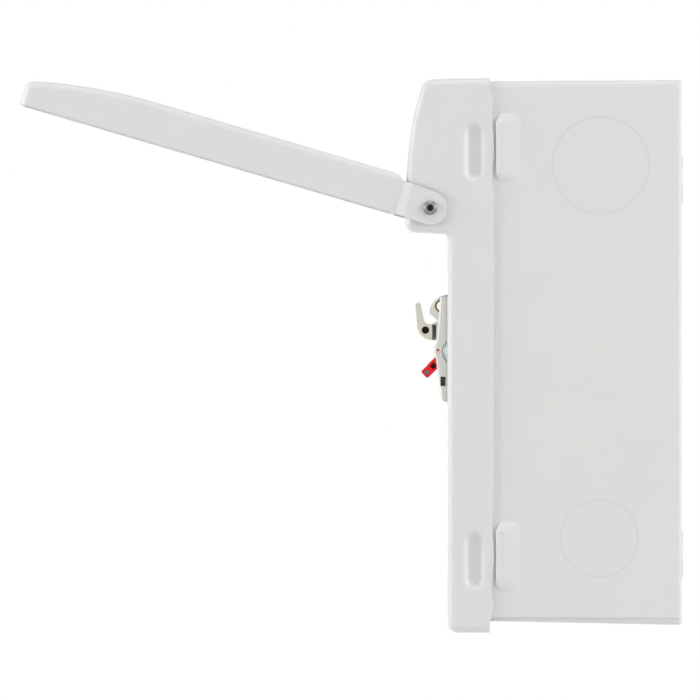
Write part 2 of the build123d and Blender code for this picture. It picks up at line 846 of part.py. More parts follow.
with BuildPart() as earth_bar:
    with BuildSketch(front_at(earth_bar_depth)):
        with Locations((0, earth_bar_z)):
            Rectangle(earth_bar_length, earth_bar_side)
    extrude(amount=earth_bar_side)
    chamfer(earth_bar.edges().filter_by(Axis.X), earth_bar_chamfer)
    with BuildSketch(Plane.XY.offset(earth_bar_z - half_bar)):
        with Locations(*[(x, -earth_bar_depth - half_bar) for x, z in way_places]):
            Circle(earth_way_radius)
    extrude(amount=earth_bar_side, mode=Mode.SUBTRACT)
    clamp_holes = discs(bar_front_depth, way_places, earth_screw_radius)
    extrude(clamp_holes, amount=-half_bar, mode=Mode.SUBTRACT)
earth_bar.part.label = "earth_bar"

with BuildPart() as earth_bar_screws:
    extrude(discs(bar_front_depth, way_places, earth_screw_head_radius), amount=earth_screw_head_height)
    extrude(discs(bar_front_depth, way_places, earth_screw_radius), amount=earth_way_radius - half_bar)
earth_bar_screws.part.label = "earth_bar_screws"

with BuildPart() as earth_bar_posts:
    extrude(discs(back_inside, post_places, earth_post_radius), amount=earth_bar_depth - back_inside)
earth_bar_posts.part.label = "earth_bar_posts"


# Bodies of the switch and the fuse holder, which hook over the rail
def body_outline(nose):
    """Side outline of a rail-mounted body; the nose is a list of depths and heights from the top down."""
    notch = rail_width / 2 + rail_play
    behind_flange = rail_depth - hook_slot
    above = [
        (body_back_depth, notch - hook_reach),
        (body_back_depth, half_body),
        (shoulder_depth, half_body),
        (shoulder_depth, half_nose),
    ]
    below = [
        (shoulder_depth, -half_nose),
        (shoulder_depth, -half_body),
        (body_back_depth, -half_body),
        (body_back_depth, -notch),
        (rail_depth, -notch),
        (rail_depth, notch),
        (behind_flange, notch),
        (behind_flange, notch - hook_reach),
    ]
    return [(depth, device_z + height) for depth, height in above + nose + below]


def body_cavity(nose_inside):
    """Side outline of the hollow inside such a body."""
    half_nose_inside = half_nose - case_wall
    upper = [
        (case_floor_depth, half_cavity),
        (shoulder_inside, half_cavity),
        (shoulder_inside, half_nose_inside),
        (nose_inside, half_nose_inside),
    ]
    return both_ways(upper)


def polygon_at(x, points):
    """Straight-sided side-view outline at x."""
    with BuildSketch(side_at(x)) as outline:
        with BuildLine():
            Polyline(*points, close=True)
        make_face()
    return outline.sketch


def block_at(depth, x, z, width, height):
    """Rectangular front-view outline at a depth."""
    with BuildSketch(front_at(depth)) as outline:
        with Locations((x, z)):
            Rectangle(width, height)
    return outline.sketch


def clip_channel(x):
    """Outline of the channel for a rail clip, seen from the front."""
    channel_top = device_z - rail_width / 2
    channel_height = half_body - rail_width / 2
    return block_at(
        body_back_depth, x, channel_top - channel_height / 2, clip_width + 2 * clip_clearance, channel_height
    )


def wire_entries(x):
    """Outlines of the wire entries through a body's top and bottom walls."""
    entry_depth = (terminal_back_depth + terminal_front_depth) / 2
    entry_length = terminal_depth - 2 * terminal_wall
    with BuildSketch(Plane.XY.offset(device_z)) as outline:
        with Locations((x, -entry_depth)):
            Rectangle(wire_entry_width, entry_length)
    return outline.sketch


def terminal_places(ways):
    """Front-view places of the terminals at the top and bottom of each way."""
    return [(x, device_z + hand * terminal_middle) for x in ways for hand in (1, -1)]


channel_depth = clip_thickness + 2 * clip_clearance
switch_nose = [
    (switch_nose_top_depth, half_nose),
    (switch_nose_depth, switch_nose_flat_end),
    (switch_bulge_depth, switch_bulge_top),
    (switch_bulge_depth, switch_bulge_bottom),
    (switch_nose_depth + switch_bulge_lag, switch_nose_lower),
    (switch_nose_bottom_depth, switch_corner_radius - half_nose),
    (switch_nose_bottom_depth - switch_corner_radius, -half_nose),
]
switch_nose_inside = switch_nose_bottom_depth - case_wall
rivet_places = [
    (case_floor_depth + rivet_inset, device_z + half_cavity - rivet_inset),
    (case_floor_depth + rivet_inset, device_z - half_cavity + rivet_inset),
    (nose_rivet_depth, device_z + upper_nose_rivet),
    (nose_rivet_depth, device_z - lower_nose_rivet),
]


def switch_case(outer, hand, pole):
    """Half of the switch case, from its outer face to the middle joint."""
    wall = hand * case_wall
    toggle_place = (toggle_depth, toggle_z)
    with BuildPart() as case:
        extrude(polygon_at(outer, body_outline(switch_nose)), amount=outer - switch_middle)
        outer_face = case.faces().filter_by(Axis.X).sort_by(Axis.X)[-1 if hand > 0 else 0]
        chamfer(outer_face.edges(), case_edge)
        cavity = polygon_at(outer - wall, body_cavity(switch_nose_inside))
        extrude(cavity, amount=outer - wall - switch_middle, mode=Mode.SUBTRACT)
        hub_seat = round_at(outer, toggle_place, hub_recess_radius)
        extrude(hub_seat, amount=hand * hub_recess, mode=Mode.SUBTRACT)
        bearing = round_at(outer, toggle_place, spindle_radius + spindle_clearance)
        extrude(bearing, amount=wall, mode=Mode.SUBTRACT)
        with BuildSketch(side_at(outer)):
            with Locations((side_slot_depth, side_slot_z)):
                Rectangle(side_slot_width, side_slot_height)
        extrude(amount=hand * side_slot_recess, mode=Mode.SUBTRACT)
        indicator_seat = round_at(outer, (indicator_depth, indicator_z), indicator_radius)
        extrude(indicator_seat, amount=hand * indicator_length, mode=Mode.SUBTRACT)
        with BuildSketch(side_at(outer)):
            with Locations(*rivet_places):
                Circle(rivet_radius)
        extrude(amount=wall, mode=Mode.SUBTRACT)
        slot_width = toggle_width + 2 * toggle_slot_clearance
        toggle_slot = block_at(switch_nose_inside, switch_middle, toggle_z, slot_width, 2 * toggle_slot_reach)
        extrude(toggle_slot, amount=switch_bulge_depth, mode=Mode.SUBTRACT)
        screw_access = discs(shoulder_depth, terminal_places([pole]), terminal_hole_radius)
        extrude(screw_access, amount=-case_wall, mode=Mode.SUBTRACT)
        extrude(wire_entries(pole), amount=half_body, both=True, mode=Mode.SUBTRACT)
        extrude(clip_channel(switch_middle), amount=channel_depth, mode=Mode.SUBTRACT)
    return case.part


with BuildPart() as isolator_case_right:
    add(switch_case(switch_outer, 1, switch_poles[1]))
isolator_case_right.part.label = "isolator_case_right"

with BuildPart() as isolator_case_left:
    add(switch_case(switch_inner, -1, switch_poles[0]))
isolator_case_left.part.label = "isolator_case_left"

with BuildPart() as isolator_rivets:
    with BuildSketch(side_at(switch_outer)):
        with Locations(*rivet_places):
            Circle(rivet_radius)
    extrude(amount=device_width)
isolator_rivets.part.label = "isolator_rivets"

with BuildPart() as indicator_pins:
    for outer, hand in ((switch_outer, 1), (switch_inner, -1)):
        indicator = round_at(outer, (indicator_depth, indicator_z), indicator_radius)
        extrude(indicator, amount=hand * indicator_length)
indicator_pins.part.label = "indicator_pins"


def rail_clip(x):
    """Sliding clip that hooks behind the rail's lower flange."""
    clip_top = device_z - rail_width / 2 + hook_reach
    clip_bottom = device_z - half_body - clip_tail
    clip_height = clip_top - clip_bottom
    clip_back = body_back_depth + clip_clearance
    with BuildPart() as clip:
        clip_plan = block_at(clip_back, x, (clip_top + clip_bottom) / 2, clip_width, clip_height)
        extrude(clip_plan, amount=clip_thickness)
        nib = clip.edges().filter_by(Axis.X).group_by(Axis.Z)[-1].sort_by(Axis.Y)[0]
        chamfer(nib, hook_reach / 2)
        pull_hole = discs(clip_back, [(x, clip_bottom + clip_tail / 2)], clip_pull_radius)
        extrude(pull_hole, amount=clip_thickness, mode=Mode.SUBTRACT)
    return clip.part


with BuildPart() as isolator_clip:
    add(rail_clip(switch_middle))
isolator_clip.part.label = "isolator_clip"

with BuildPart() as fuse_clip:
    add(rail_clip(-switch_middle))
fuse_clip.part.label = "fuse_clip"


# Terminals: a brass cage round each wire entry and a clamp screw behind each shoulder
def cages(ways):
    """Square brass cages, open at the top and bottom."""
    cage_depth = (terminal_back_depth + terminal_front_depth) / 2
    inner_width = terminal_width - 2 * terminal_wall
    inner_depth = terminal_depth - 2 * terminal_wall
    with BuildPart() as tubes:
        for level in (device_z + terminal_end, device_z - half_cavity):
            with BuildSketch(Plane.XY.offset(level)):
                with Locations(*[(x, -cage_depth) for x in ways]):
                    Rectangle(terminal_width, terminal_depth)
                    Rectangle(inner_width, inner_depth, mode=Mode.SUBTRACT)
            extrude(amount=terminal_height)
        tapped = discs(terminal_front_depth, terminal_places(ways), terminal_screw_radius)
        extrude(tapped, amount=-terminal_wall, mode=Mode.SUBTRACT)
    return tubes.part


def clamp_screws(ways):
    """Slotted clamp screws, heads below the shoulders."""
    head_back = shoulder_inside - terminal_screw_sink - terminal_screw_head_height
    with BuildPart() as screws:
        heads = discs(head_back, terminal_places(ways), terminal_screw_head_radius)
        extrude(heads, amount=terminal_screw_head_height)
        with BuildSketch(front_at(head_back + terminal_screw_head_height)):
            with Locations(*terminal_places(ways)):
                Rectangle(2 * terminal_screw_head_radius, driver_slot)
        extrude(amount=-driver_slot, mode=Mode.SUBTRACT)
        shanks = discs(head_back, terminal_places(ways), terminal_screw_radius)
        extrude(shanks, amount=terminal_screw_tip_depth - head_back)
    return screws.part


fuse_ways = (fuse_way, neutral_way)

with BuildPart() as isolator_terminal_cages:
    add(cages(switch_poles))
isolator_terminal_cages.part.label = "isolator_terminal_cages"

with BuildPart() as isolator_terminal_screws:
    add(clamp_screws(switch_poles))
isolator_terminal_screws.part.label = "isolator_terminal_screws"

with BuildPart() as fuse_terminal_cages:
    add(cages(fuse_ways))
fuse_terminal_cages.part.label = "fuse_terminal_cages"

with BuildPart() as fuse_terminal_screws:
    add(clamp_screws(fuse_ways))
fuse_terminal_screws.part.label = "fuse_terminal_screws"

# Switch contacts: the blades swing back and down from the toggle's spindle when it is put on
swing = radians(toggle_travel / 2)
strip_end_depth = terminal_back_depth + terminal_wall / 2
line_contact_z = toggle_z + blade_root_radius + contact_gap
line_run = [
    (toggle_depth, line_contact_z),
    (toggle_depth, device_z + line_strip_rise),
    (strip_end_depth, device_z + line_strip_rise),
    (strip_end_depth, device_z + terminal_end),
]
load_offset = blade_thickness / 2 + contact_gap + load_contact_radius
load_contact = (
    toggle_depth - load_contact_reach * cos(swing) + load_offset * sin(swing),
    toggle_z - load_contact_reach * sin(swing) - load_offset * cos(swing),
)
load_run_z = device_z - terminal_end + load_strip_bend
load_run = [
    load_contact,
    (load_contact[0], load_run_z),
    (strip_end_depth, load_run_z),
    (strip_end_depth, device_z - terminal_end),
]

with BuildPart() as isolator_line_contacts:
    for pole in switch_poles:
        strip_plane = side_at(pole + strip_width / 2)
        extrude(folded(strip_plane, line_run, strip_bend_radius, strip_thickness), amount=strip_width)
isolator_line_contacts.part.label = "isolator_line_contacts"

with BuildPart() as isolator_load_contacts:
    for pole in switch_poles:
        strip_plane = side_at(pole + strip_width / 2)
        extrude(folded(strip_plane, load_run, strip_bend_radius, strip_thickness), amount=strip_width)
        extrude(round_at(pole + strip_width / 2, load_contact, load_contact_radius), amount=strip_width)
isolator_load_contacts.part.label = "isolator_load_contacts"

blade_side = Plane(
    origin=(0, -toggle_depth, toggle_z), x_dir=(0, cos(swing), sin(swing)), z_dir=(1, 0, 0)
)

with BuildPart() as contact_blades:
    for pole in switch_poles:
        with BuildSketch(blade_side.offset(pole - blade_width / 2)):
            Circle(blade_root_radius)
            Rectangle(blade_length, blade_thickness, align=(Align.MIN, Align.CENTER))
            Circle(spindle_radius, mode=Mode.SUBTRACT)
        extrude(amount=blade_width)
contact_blades.part.label = "contact_blades"

# Toggle, its tie pin and the spindle that turns the blades
toggle_side = Plane(
    origin=(switch_middle, -toggle_depth, toggle_z),
    x_dir=(0, -cos(radians(toggle_tilt)), -sin(radians(toggle_tilt))),
    z_dir=(-1, 0, 0),
)

with BuildPart() as toggle_lever:
    with BuildSketch(toggle_side) as lever:
        with BuildLine():
            Polyline(
                (0, toggle_low),
                (toggle_length, toggle_low),
                (toggle_length, toggle_low + toggle_tip_thickness),
                (toggle_step, toggle_low + toggle_tip_thickness),
                (toggle_step, toggle_low + toggle_root_thickness),
                (0, toggle_low + toggle_root_thickness),
                close=True,
            )
        make_face()
        fillet(lever.vertices().group_by(Axis.X)[-1], toggle_tip_radius)
        Circle(toggle_barrel_radius)
        Circle(spindle_radius, mode=Mode.SUBTRACT)
    extrude(amount=toggle_width / 2, both=True)
    with BuildSketch(toggle_side):
        with Locations((tie_pin_reach, toggle_low + toggle_tip_thickness / 2)):
            Circle(tie_pin_radius)
    extrude(amount=toggle_width / 2, both=True, mode=Mode.SUBTRACT)
    for hand in (1, -1):
        with BuildSketch(toggle_side.offset(hand * toggle_width / 2)):
            with Locations((toggle_pocket_reach, toggle_low + toggle_root_thickness / 2)):
                Rectangle(toggle_pocket_length, toggle_pocket_height)
        extrude(amount=-hand * toggle_pocket_depth, mode=Mode.SUBTRACT)
toggle_lever.part.label = "toggle_lever"

with BuildPart() as toggle_tie_pin:
    with BuildSketch(toggle_side):
        with Locations((tie_pin_reach, toggle_low + toggle_tip_thickness / 2)):
            Circle(tie_pin_radius)
    extrude(amount=toggle_width / 2, both=True)
toggle_tie_pin.part.label = "toggle_tie_pin"

with BuildPart() as toggle_spindle:
    extrude(round_at(switch_outer, (toggle_depth, toggle_z), spindle_radius), amount=device_width)
    for outer, hand in ((switch_outer, 1), (switch_inner, -1)):
        hub_x = outer - hand * (hub_recess - hub_thickness - spindle_clearance)
        extrude(round_at(hub_x, (toggle_depth, toggle_z), hub_radius), amount=hand * hub_thickness)
toggle_spindle.part.label = "toggle_spindle"

# Fuse holder: base moulding with a side plate, both carrying a sealing lobe
fuse_nose = [(fuse_nose_depth, half_nose), (fuse_nose_depth, -half_nose)]
fuse_outer = -switch_outer
fuse_plate_x = fuse_outer + case_wall
inner_lobe_x = fuse_way + carrier_width / 2 + lobe_clearance + case_wall


def lobe(x):
    """Round sealing lobe with a beak, in front of the nose."""
    with BuildSketch(side_at(x)) as outline:
        with Locations((lobe_depth, lobe_z)):
            Circle(lobe_radius)
        with BuildLine():
            Polyline(
                (lobe_depth + lobe_radius, lobe_z),
                (lobe_depth + lobe_radius - lobe_beak_run, lobe_z - lobe_beak_fall),
                (lobe_depth + lobe_radius, lobe_z - lobe_beak_fall),
                close=True,
            )
        make_face(mode=Mode.SUBTRACT)
        with Locations((ferrule_depth, ferrule_z)):
            Circle(ferrule_radius, mode=Mode.SUBTRACT)
    return outline.sketch


with BuildPart() as fuse_base:
    extrude(polygon_at(-switch_inner, body_outline(fuse_nose)), amount=-switch_inner - fuse_plate_x)
    hollow = polygon_at(-switch_inner - case_wall, body_cavity(fuse_nose_depth - case_wall))
    extrude(hollow, amount=-switch_inner - case_wall - fuse_plate_x, mode=Mode.SUBTRACT)
    extrude(lobe(inner_lobe_x), amount=case_wall)
    lobe_bore = round_at(inner_lobe_x, (ferrule_depth, ferrule_z), ferrule_radius)
    extrude(lobe_bore, amount=case_wall, mode=Mode.SUBTRACT)
    carrier_slot = block_at(fuse_nose_depth, fuse_way, device_z, carrier_width, carrier_height)
    extrude(carrier_slot, amount=-case_wall, mode=Mode.SUBTRACT)
    screw_access = discs(shoulder_depth, terminal_places(fuse_ways), terminal_hole_radius)
    extrude(screw_access, amount=-case_wall, mode=Mode.SUBTRACT)
    for way in fuse_ways:
        extrude(wire_entries(way), amount=half_body, both=True, mode=Mode.SUBTRACT)
    extrude(clip_channel(-switch_middle), amount=channel_depth, mode=Mode.SUBTRACT)
fuse_base.part.label = "fuse_base"

with BuildPart() as fuse_side_plate:
    extrude(polygon_at(fuse_plate_x, body_outline(fuse_nose)), amount=case_wall)
    extrude(lobe(fuse_plate_x), amount=case_wall)
    plate_bore = round_at(fuse_plate_x, (ferrule_depth, ferrule_z), ferrule_radius)
    extrude(plate_bore, amount=case_wall, mode=Mode.SUBTRACT)
fuse_side_plate.part.label = "fuse_side_plate"

with BuildPart() as seal_ferrules:
    for x in (inner_lobe_x, fuse_plate_x):
        extrude(ring_at(x, (ferrule_depth, ferrule_z), ferrule_radius, ferrule_bore), amount=case_wall)
seal_ferrules.part.label = "seal_ferrules"

# Fuse carrier: a plate in the nose, a grip round the fuse link and a hooked handle
plate_back = fuse_nose_depth + carrier_proud - carrier_plate
plate_width = carrier_width - 2 * carrier_clearance
grip_length = plate_back - link_depth + carrier_grip_past

with BuildPart() as fuse_carrier:
    plate_height = carrier_height - 2 * carrier_clearance
    extrude(block_at(plate_back, fuse_way, device_z, plate_width, plate_height), amount=carrier_plate)
    extrude(block_at(plate_back, fuse_way, device_z, plate_width, carrier_grip_height), amount=-grip_length)
    with BuildSketch(Plane.XY.offset(device_z)):
        with Locations((fuse_way, -link_depth)):
            Circle(link_radius + jaw_clearance)
    extrude(amount=carrier_height, both=True, mode=Mode.SUBTRACT)
    with BuildSketch(side_at(fuse_way + handle_width / 2)) as hook:
        with BuildLine():
            root = Line((plate_back, handle_bottom), (handle_heel, handle_bottom))
            heel = TangentArc(root @ 1, (handle_front, handle_heel_top), tangent=(1, 0))
            tip_outer = (handle_front + handle_lean, handle_top - handle_tip)
            front = Line(heel @ 1, tip_outer)
            tip_inner = (handle_front + handle_lean - handle_tip_width, handle_top - handle_tip)
            tip = ThreePointArc(front @ 1, (tip_outer[0] - handle_tip_width / 2, handle_top), tip_inner)
            back = Line(tip @ 1, (handle_throat_front, handle_throat_top))
            throat = TangentArc(back @ 1, (handle_throat, handle_throat_bottom), tangent=back % 1)
            Polyline(throat @ 1, (handle_neck, handle_neck_top), (plate_back, handle_neck_top), root @ 0)
        make_face()
        with Locations((handle_pin_depth, handle_pin_z)):
            Circle(handle_pin_radius, mode=Mode.SUBTRACT)
    extrude(amount=handle_width)
    for hand in (1, -1):
        with BuildSketch(side_at(fuse_way + hand * handle_width / 2)):
            with Locations((handle_pocket_depth, handle_pocket_z)):
                Rectangle(handle_pocket_width, handle_pocket_height)
        extrude(amount=hand * handle_pocket_sink, mode=Mode.SUBTRACT)
fuse_carrier.part.label = "fuse_carrier"

with BuildPart() as handle_pin:
    pin_outline = round_at(fuse_way + handle_width / 2, (handle_pin_depth, handle_pin_z), handle_pin_radius)
    extrude(pin_outline, amount=handle_width)
handle_pin.part.label = "handle_pin"

# Fuse link, the jaws that hold its caps, and the solid neutral link
with BuildPart() as fuse_barrel:
    with BuildSketch(Plane.XY.offset(device_z)):
        with Locations((fuse_way, -link_depth)):
            Circle(link_radius)
    extrude(amount=link_length / 2 - cap_end, both=True)
fuse_barrel.part.label = "fuse_barrel"

with BuildPart() as fuse_caps:
    for hand in (1, -1):
        with BuildSketch(Plane.XY.offset(device_z + hand * link_length / 2)):
            with Locations((fuse_way, -link_depth)):
                Circle(cap_radius)
        extrude(amount=-hand * cap_length)
    with BuildSketch(Plane.XY.offset(device_z)):
        with Locations((fuse_way, -link_depth)):
            Circle(link_radius)
    extrude(amount=link_length / 2 - cap_end, both=True, mode=Mode.SUBTRACT)
fuse_caps.part.label = "fuse_caps"

jaw_half = cap_radius + jaw_clearance + jaw_wall / 2
jaw_back = link_depth - jaw_half
jaw_middle = (link_length - cap_length) / 2
jaw_line = [
    (fuse_way + jaw_half, -link_depth - jaw_reach),
    (fuse_way + jaw_half, -jaw_back),
    (fuse_way - jaw_half, -jaw_back),
    (fuse_way - jaw_half, -link_depth - jaw_reach),
]
jaw_run = [
    (jaw_back, jaw_middle - jaw_height / 2),
    (jaw_back, jaw_middle + jaw_strip_rise),
    (strip_end_depth, jaw_middle + jaw_strip_rise),
    (strip_end_depth, terminal_end),
]

with BuildPart() as fuse_jaws:
    for hand in (1, -1):
        jaw_level = Plane.XY.offset(device_z + hand * jaw_middle - jaw_height / 2)
        extrude(folded(jaw_level, jaw_line, jaw_bend_radius, jaw_wall), amount=jaw_height)
        jaw_tail = [(depth, device_z + hand * height) for depth, height in jaw_run]
        tail_plane = side_at(fuse_way + strip_width / 2)
        extrude(folded(tail_plane, jaw_tail, strip_bend_radius, jaw_wall), amount=strip_width)
fuse_jaws.part.label = "fuse_jaws"

with BuildPart() as neutral_link:
    neutral_bar = block_at(terminal_back_depth, neutral_way, device_z, strip_width, 2 * half_cavity)
    extrude(neutral_bar, amount=-strip_thickness)
neutral_link.part.label = "neutral_link"


# Flat copper straps from the switch's load terminals to the fuse holder
def strap(depth, start, end, drop):
    """Flat U-shaped strap, its legs up in two lower terminals."""
    leg_top = device_z - half_cavity + strap_insert
    run = device_z - half_body - drop
    points = [(start, leg_top), (start, run), (end, run), (end, leg_top)]
    plane = front_at(depth - strap_thickness / 2)
    with BuildPart() as plate:
        extrude(folded(plane, points, strap_corner_radius, strap_width), amount=strap_thickness)
    return plate.part


with BuildPart() as live_strap:
    add(strap(live_strap_depth, switch_poles[0], fuse_way, live_strap_drop))
live_strap.part.label = "live_strap"

with BuildPart() as neutral_strap:
    add(strap(neutral_strap_depth, switch_poles[1], neutral_way, neutral_strap_drop))
neutral_strap.part.label = "neutral_strap"

# One STEP file for each piece
pieces = [
    back_box, front_cover, cover_pillars, cover_screws,
    lid_flap, lid_pivot_screws, lid_friction_washers, lid_pivot_nuts,
    din_rail, rail_brackets, rail_screws, earth_bar, earth_bar_screws, earth_bar_posts,
    isolator_case_right, isolator_case_left, isolator_rivets, indicator_pins, isolator_clip,
    isolator_terminal_cages, isolator_terminal_screws, isolator_line_contacts, isolator_load_contacts,
    contact_blades, toggle_lever, toggle_tie_pin, toggle_spindle,
    fuse_base, fuse_side_plate, seal_ferrules, fuse_carrier, handle_pin, fuse_clip,
    fuse_terminal_cages, fuse_terminal_screws, fuse_barrel, fuse_caps, fuse_jaws, neutral_link,
    live_strap, neutral_strap,
]
os.makedirs("parts", exist_ok=True)
for piece in pieces:
    export_step(piece.part, f"parts/{piece.part.label}.step")
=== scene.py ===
import json
import logging
import math
from dataclasses import dataclass, field
from enum import Enum, IntEnum
from typing import NamedTuple

import bmesh
import bpy
from mathutils import Matrix, Vector


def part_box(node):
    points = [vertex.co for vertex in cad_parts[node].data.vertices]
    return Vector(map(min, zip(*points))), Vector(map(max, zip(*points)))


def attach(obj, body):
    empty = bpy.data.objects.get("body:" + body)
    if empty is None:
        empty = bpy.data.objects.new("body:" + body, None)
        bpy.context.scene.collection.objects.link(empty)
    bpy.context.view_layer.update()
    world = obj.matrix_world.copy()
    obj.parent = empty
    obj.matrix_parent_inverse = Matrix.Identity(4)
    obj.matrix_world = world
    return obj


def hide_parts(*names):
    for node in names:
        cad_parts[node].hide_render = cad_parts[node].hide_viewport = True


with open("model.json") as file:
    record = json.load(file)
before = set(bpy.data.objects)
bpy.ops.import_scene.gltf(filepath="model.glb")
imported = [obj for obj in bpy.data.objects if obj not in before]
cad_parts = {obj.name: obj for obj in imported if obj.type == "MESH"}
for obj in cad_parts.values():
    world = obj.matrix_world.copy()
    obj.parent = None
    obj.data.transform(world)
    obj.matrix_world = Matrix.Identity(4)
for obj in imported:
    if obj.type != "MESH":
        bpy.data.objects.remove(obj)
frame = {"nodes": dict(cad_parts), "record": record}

log = logging.getLogger("switch_fuse_unit")

Colour = tuple[float, float, float]
Point = tuple[float, float, float]
MM = 0.001
WHITE = (1.0, 1.0, 1.0, 1.0)
QUARTER_TURN = math.radians(90)


class ColourMix(IntEnum):
    """Sockets of a Mix node that blends two colours."""

    FACTOR = 0
    LOW = 6
    HIGH = 7
    RESULT = 2


class Wire:
    """One number output of a node; arithmetic on it adds Math nodes."""

    def __init__(self, bench: "NodeBench", socket: bpy.types.NodeSocket) -> None:
        """Keeps the output socket and the bench that it belongs to.

        Args:
            bench: Node bench of the material.
            socket: Output socket that carries the number.
        """
        self.bench = bench
        self.socket = socket

    def _math(self, operation: str, first: "Wire | float", second: "Wire | float") -> "Wire":
        """Adds one Math node.

        Args:
            operation: Blender's name of the operation.
            first: Upper operand.
            second: Lower operand.

        Returns:
            The result as a wire.
        """
        node = self.bench.node("ShaderNodeMath", {"operation": operation}, {0: first, 1: second})
        return Wire(self.bench, node.outputs[0])

    def __add__(self, other: "Wire | float") -> "Wire":
        """Sum."""
        return self._math("ADD", self, other)

    def __radd__(self, other: float) -> "Wire":
        """Sum with a number on the left."""
        return self._math("ADD", other, self)

    def __sub__(self, other: "Wire | float") -> "Wire":
        """Difference."""
        return self._math("SUBTRACT", self, other)

    def __rsub__(self, other: float) -> "Wire":
        """Difference from a number on the left."""
        return self._math("SUBTRACT", other, self)

    def __mul__(self, other: "Wire | float") -> "Wire":
        """Product."""
        return self._math("MULTIPLY", self, other)

    def __rmul__(self, other: float) -> "Wire":
        """Product with a number on the left."""
        return self._math("MULTIPLY", other, self)

    def at_least(self, low: float) -> "Wire":
        """The number, kept from falling below a lowest value."""
        return self._math("MAXIMUM", self, low)


class NodeBench:
    """Builds the nodes of one material or world."""

    FINE_DETAIL = 2.0
    RICH_DETAIL = 3.0
    NOISE_ROUGHNESS = 0.55
    NOISE_MIDDLE = 0.5
    EDGE_SAMPLES = 4
    OPENNESS_SAMPLES = 6

    def __init__(self, tree: bpy.types.NodeTree) -> None:
        """Clears a node tree and starts on it.

        Args:
            tree: Node tree to fill.
        """
        self.tree = tree
        self.tree.nodes.clear()

    def node(self, kind: str, settings: dict | None = None, inputs: dict | None = None) -> bpy.types.Node:
        """Adds a node, sets it up and wires it.

        Args:
            kind: Blender's type name of the node.
            settings: Properties that are set first.
            inputs: Values, wires or sockets by input name or number.

        Returns:
            The new node.
        """
        made = self.tree.nodes.new(kind)
        for name, value in (settings or {}).items():
            setattr(made, name, value)
        for name, value in (inputs or {}).items():
            if isinstance(value, Wire):
                self.tree.links.new(value.socket, made.inputs[name])
            elif isinstance(value, bpy.types.NodeSocket):
                self.tree.links.new(value, made.inputs[name])
            else:
                made.inputs[name].default_value = value
        return made

    def place(self, scale: Point = (1.0, 1.0, 1.0)) -> bpy.types.NodeSocket:
        """Object coordinates, stretched by a Mapping node.

        Args:
            scale: Stretch along each axis.

        Returns:
            The mapped coordinates.
        """
        coordinates = self.node("ShaderNodeTexCoord").outputs["Object"]
        mapping = self.node("ShaderNodeMapping", None, {"Vector": coordinates, "Scale": scale})
        return mapping.outputs["Vector"]

    def away(self, place: bpy.types.NodeSocket, centre: Vector) -> Wire:
        """Distance of a surface point from a centre.

        Args:
            place: Coordinates to read.
            centre: Centre in those coordinates.

        Returns:
            The distance as a wire.
        """
        made = self.node("ShaderNodeVectorMath", {"operation": "DISTANCE"}, {0: place, 1: centre})
        return Wire(self, made.outputs["Value"])

    def noise(self, place: bpy.types.NodeSocket, scale: float, detail: float = FINE_DETAIL) -> Wire:
        """Noise from 0 to 1.

        Args:
            place: Coordinates to read.
            scale: Repeats in a metre.
            detail: Octaves.

        Returns:
            The noise as a wire.
        """
        made = self.node("ShaderNodeTexNoise", None, {
            "Vector": place, "Scale": scale, "Detail": detail, "Roughness": self.NOISE_ROUGHNESS,
        })
        return Wire(self, made.outputs["Fac"])

    def uneven(self, middle: float, noise: Wire, spread: float) -> Wire:
        """A number that varies round its middle.

        Args:
            middle: Number in the middle.
            noise: Noise from 0 to 1.
            spread: Difference between the highest and the lowest number.

        Returns:
            The varied number as a wire.
        """
        return middle + (noise - self.NOISE_MIDDLE) * spread

    def blend(self, factor: Wire, low: Colour, high: Colour) -> bpy.types.NodeSocket:
        """Colour between two colours.

        Args:
            factor: 0 gives the first colour and 1 the second.
            low: First colour.
            high: Second colour.

        Returns:
            The mixed colour.
        """
        mixed = self.node("ShaderNodeMix", {"data_type": "RGBA"}, {
            ColourMix.FACTOR: factor, ColourMix.LOW: (*low, 1), ColourMix.HIGH: (*high, 1),
        })
        return mixed.outputs[ColourMix.RESULT]

    def bump(self, height: Wire, distance: float, strength: float, edge: float) -> bpy.types.NodeSocket:
        """Normal from a height, over edges that are softened first.

        Args:
            height: Height from 0 to 1.
            distance: Real height of 1, in metres.
            strength: Share of the bump that shows.
            edge: Radius of the softened edges, in metres.

        Returns:
            The bumped normal.
        """
        soft = self.node("ShaderNodeBevel", {"samples": self.EDGE_SAMPLES}, {"Radius": edge})
        made = self.node("ShaderNodeBump", None, {
            "Height": height, "Distance": distance, "Strength": strength, "Normal": soft.outputs["Normal"],
        })
        return made.outputs["Normal"]

    def openness(self, reach: float) -> Wire:
        """How open a piece is round a point, from 0 in a deep pocket to 1.

        Args:
            reach: Distance that is looked over, in metres.

        Returns:
            The openness as a wire.
        """
        settings = {"samples": self.OPENNESS_SAMPLES, "only_local": True}
        made = self.node("ShaderNodeAmbientOcclusion", settings, {"Distance": reach})
        return Wire(self, made.outputs["AO"])

    def mix(self, factor: Wire, first: bpy.types.Node, second: bpy.types.Node) -> bpy.types.Node:
        """Mix of two shaders.

        Args:
            factor: 0 gives the first shader and 1 the second.
            first: First shader.
            second: Second shader.

        Returns:
            The mixed shader.
        """
        inputs = {0: factor, 1: first.outputs[0], 2: second.outputs[0]}
        return self.node("ShaderNodeMixShader", None, inputs)

    def surface(self, inputs: dict) -> None:
        """Ends the material in a Principled shader.

        Args:
            inputs: Values, wires or sockets by input name.
        """
        shader = self.node("ShaderNodeBsdfPrincipled", None, inputs)
        self.node("ShaderNodeOutputMaterial", None, {"Surface": shader.outputs["BSDF"]})


def shade(colour: Colour, share: float) -> Colour:
    """A colour made lighter or darker.

    Args:
        colour: Linear colour.
        share: Factor on each channel.

    Returns:
        The new colour.
    """
    return tuple(min(1.0, channel * share) for channel in colour)


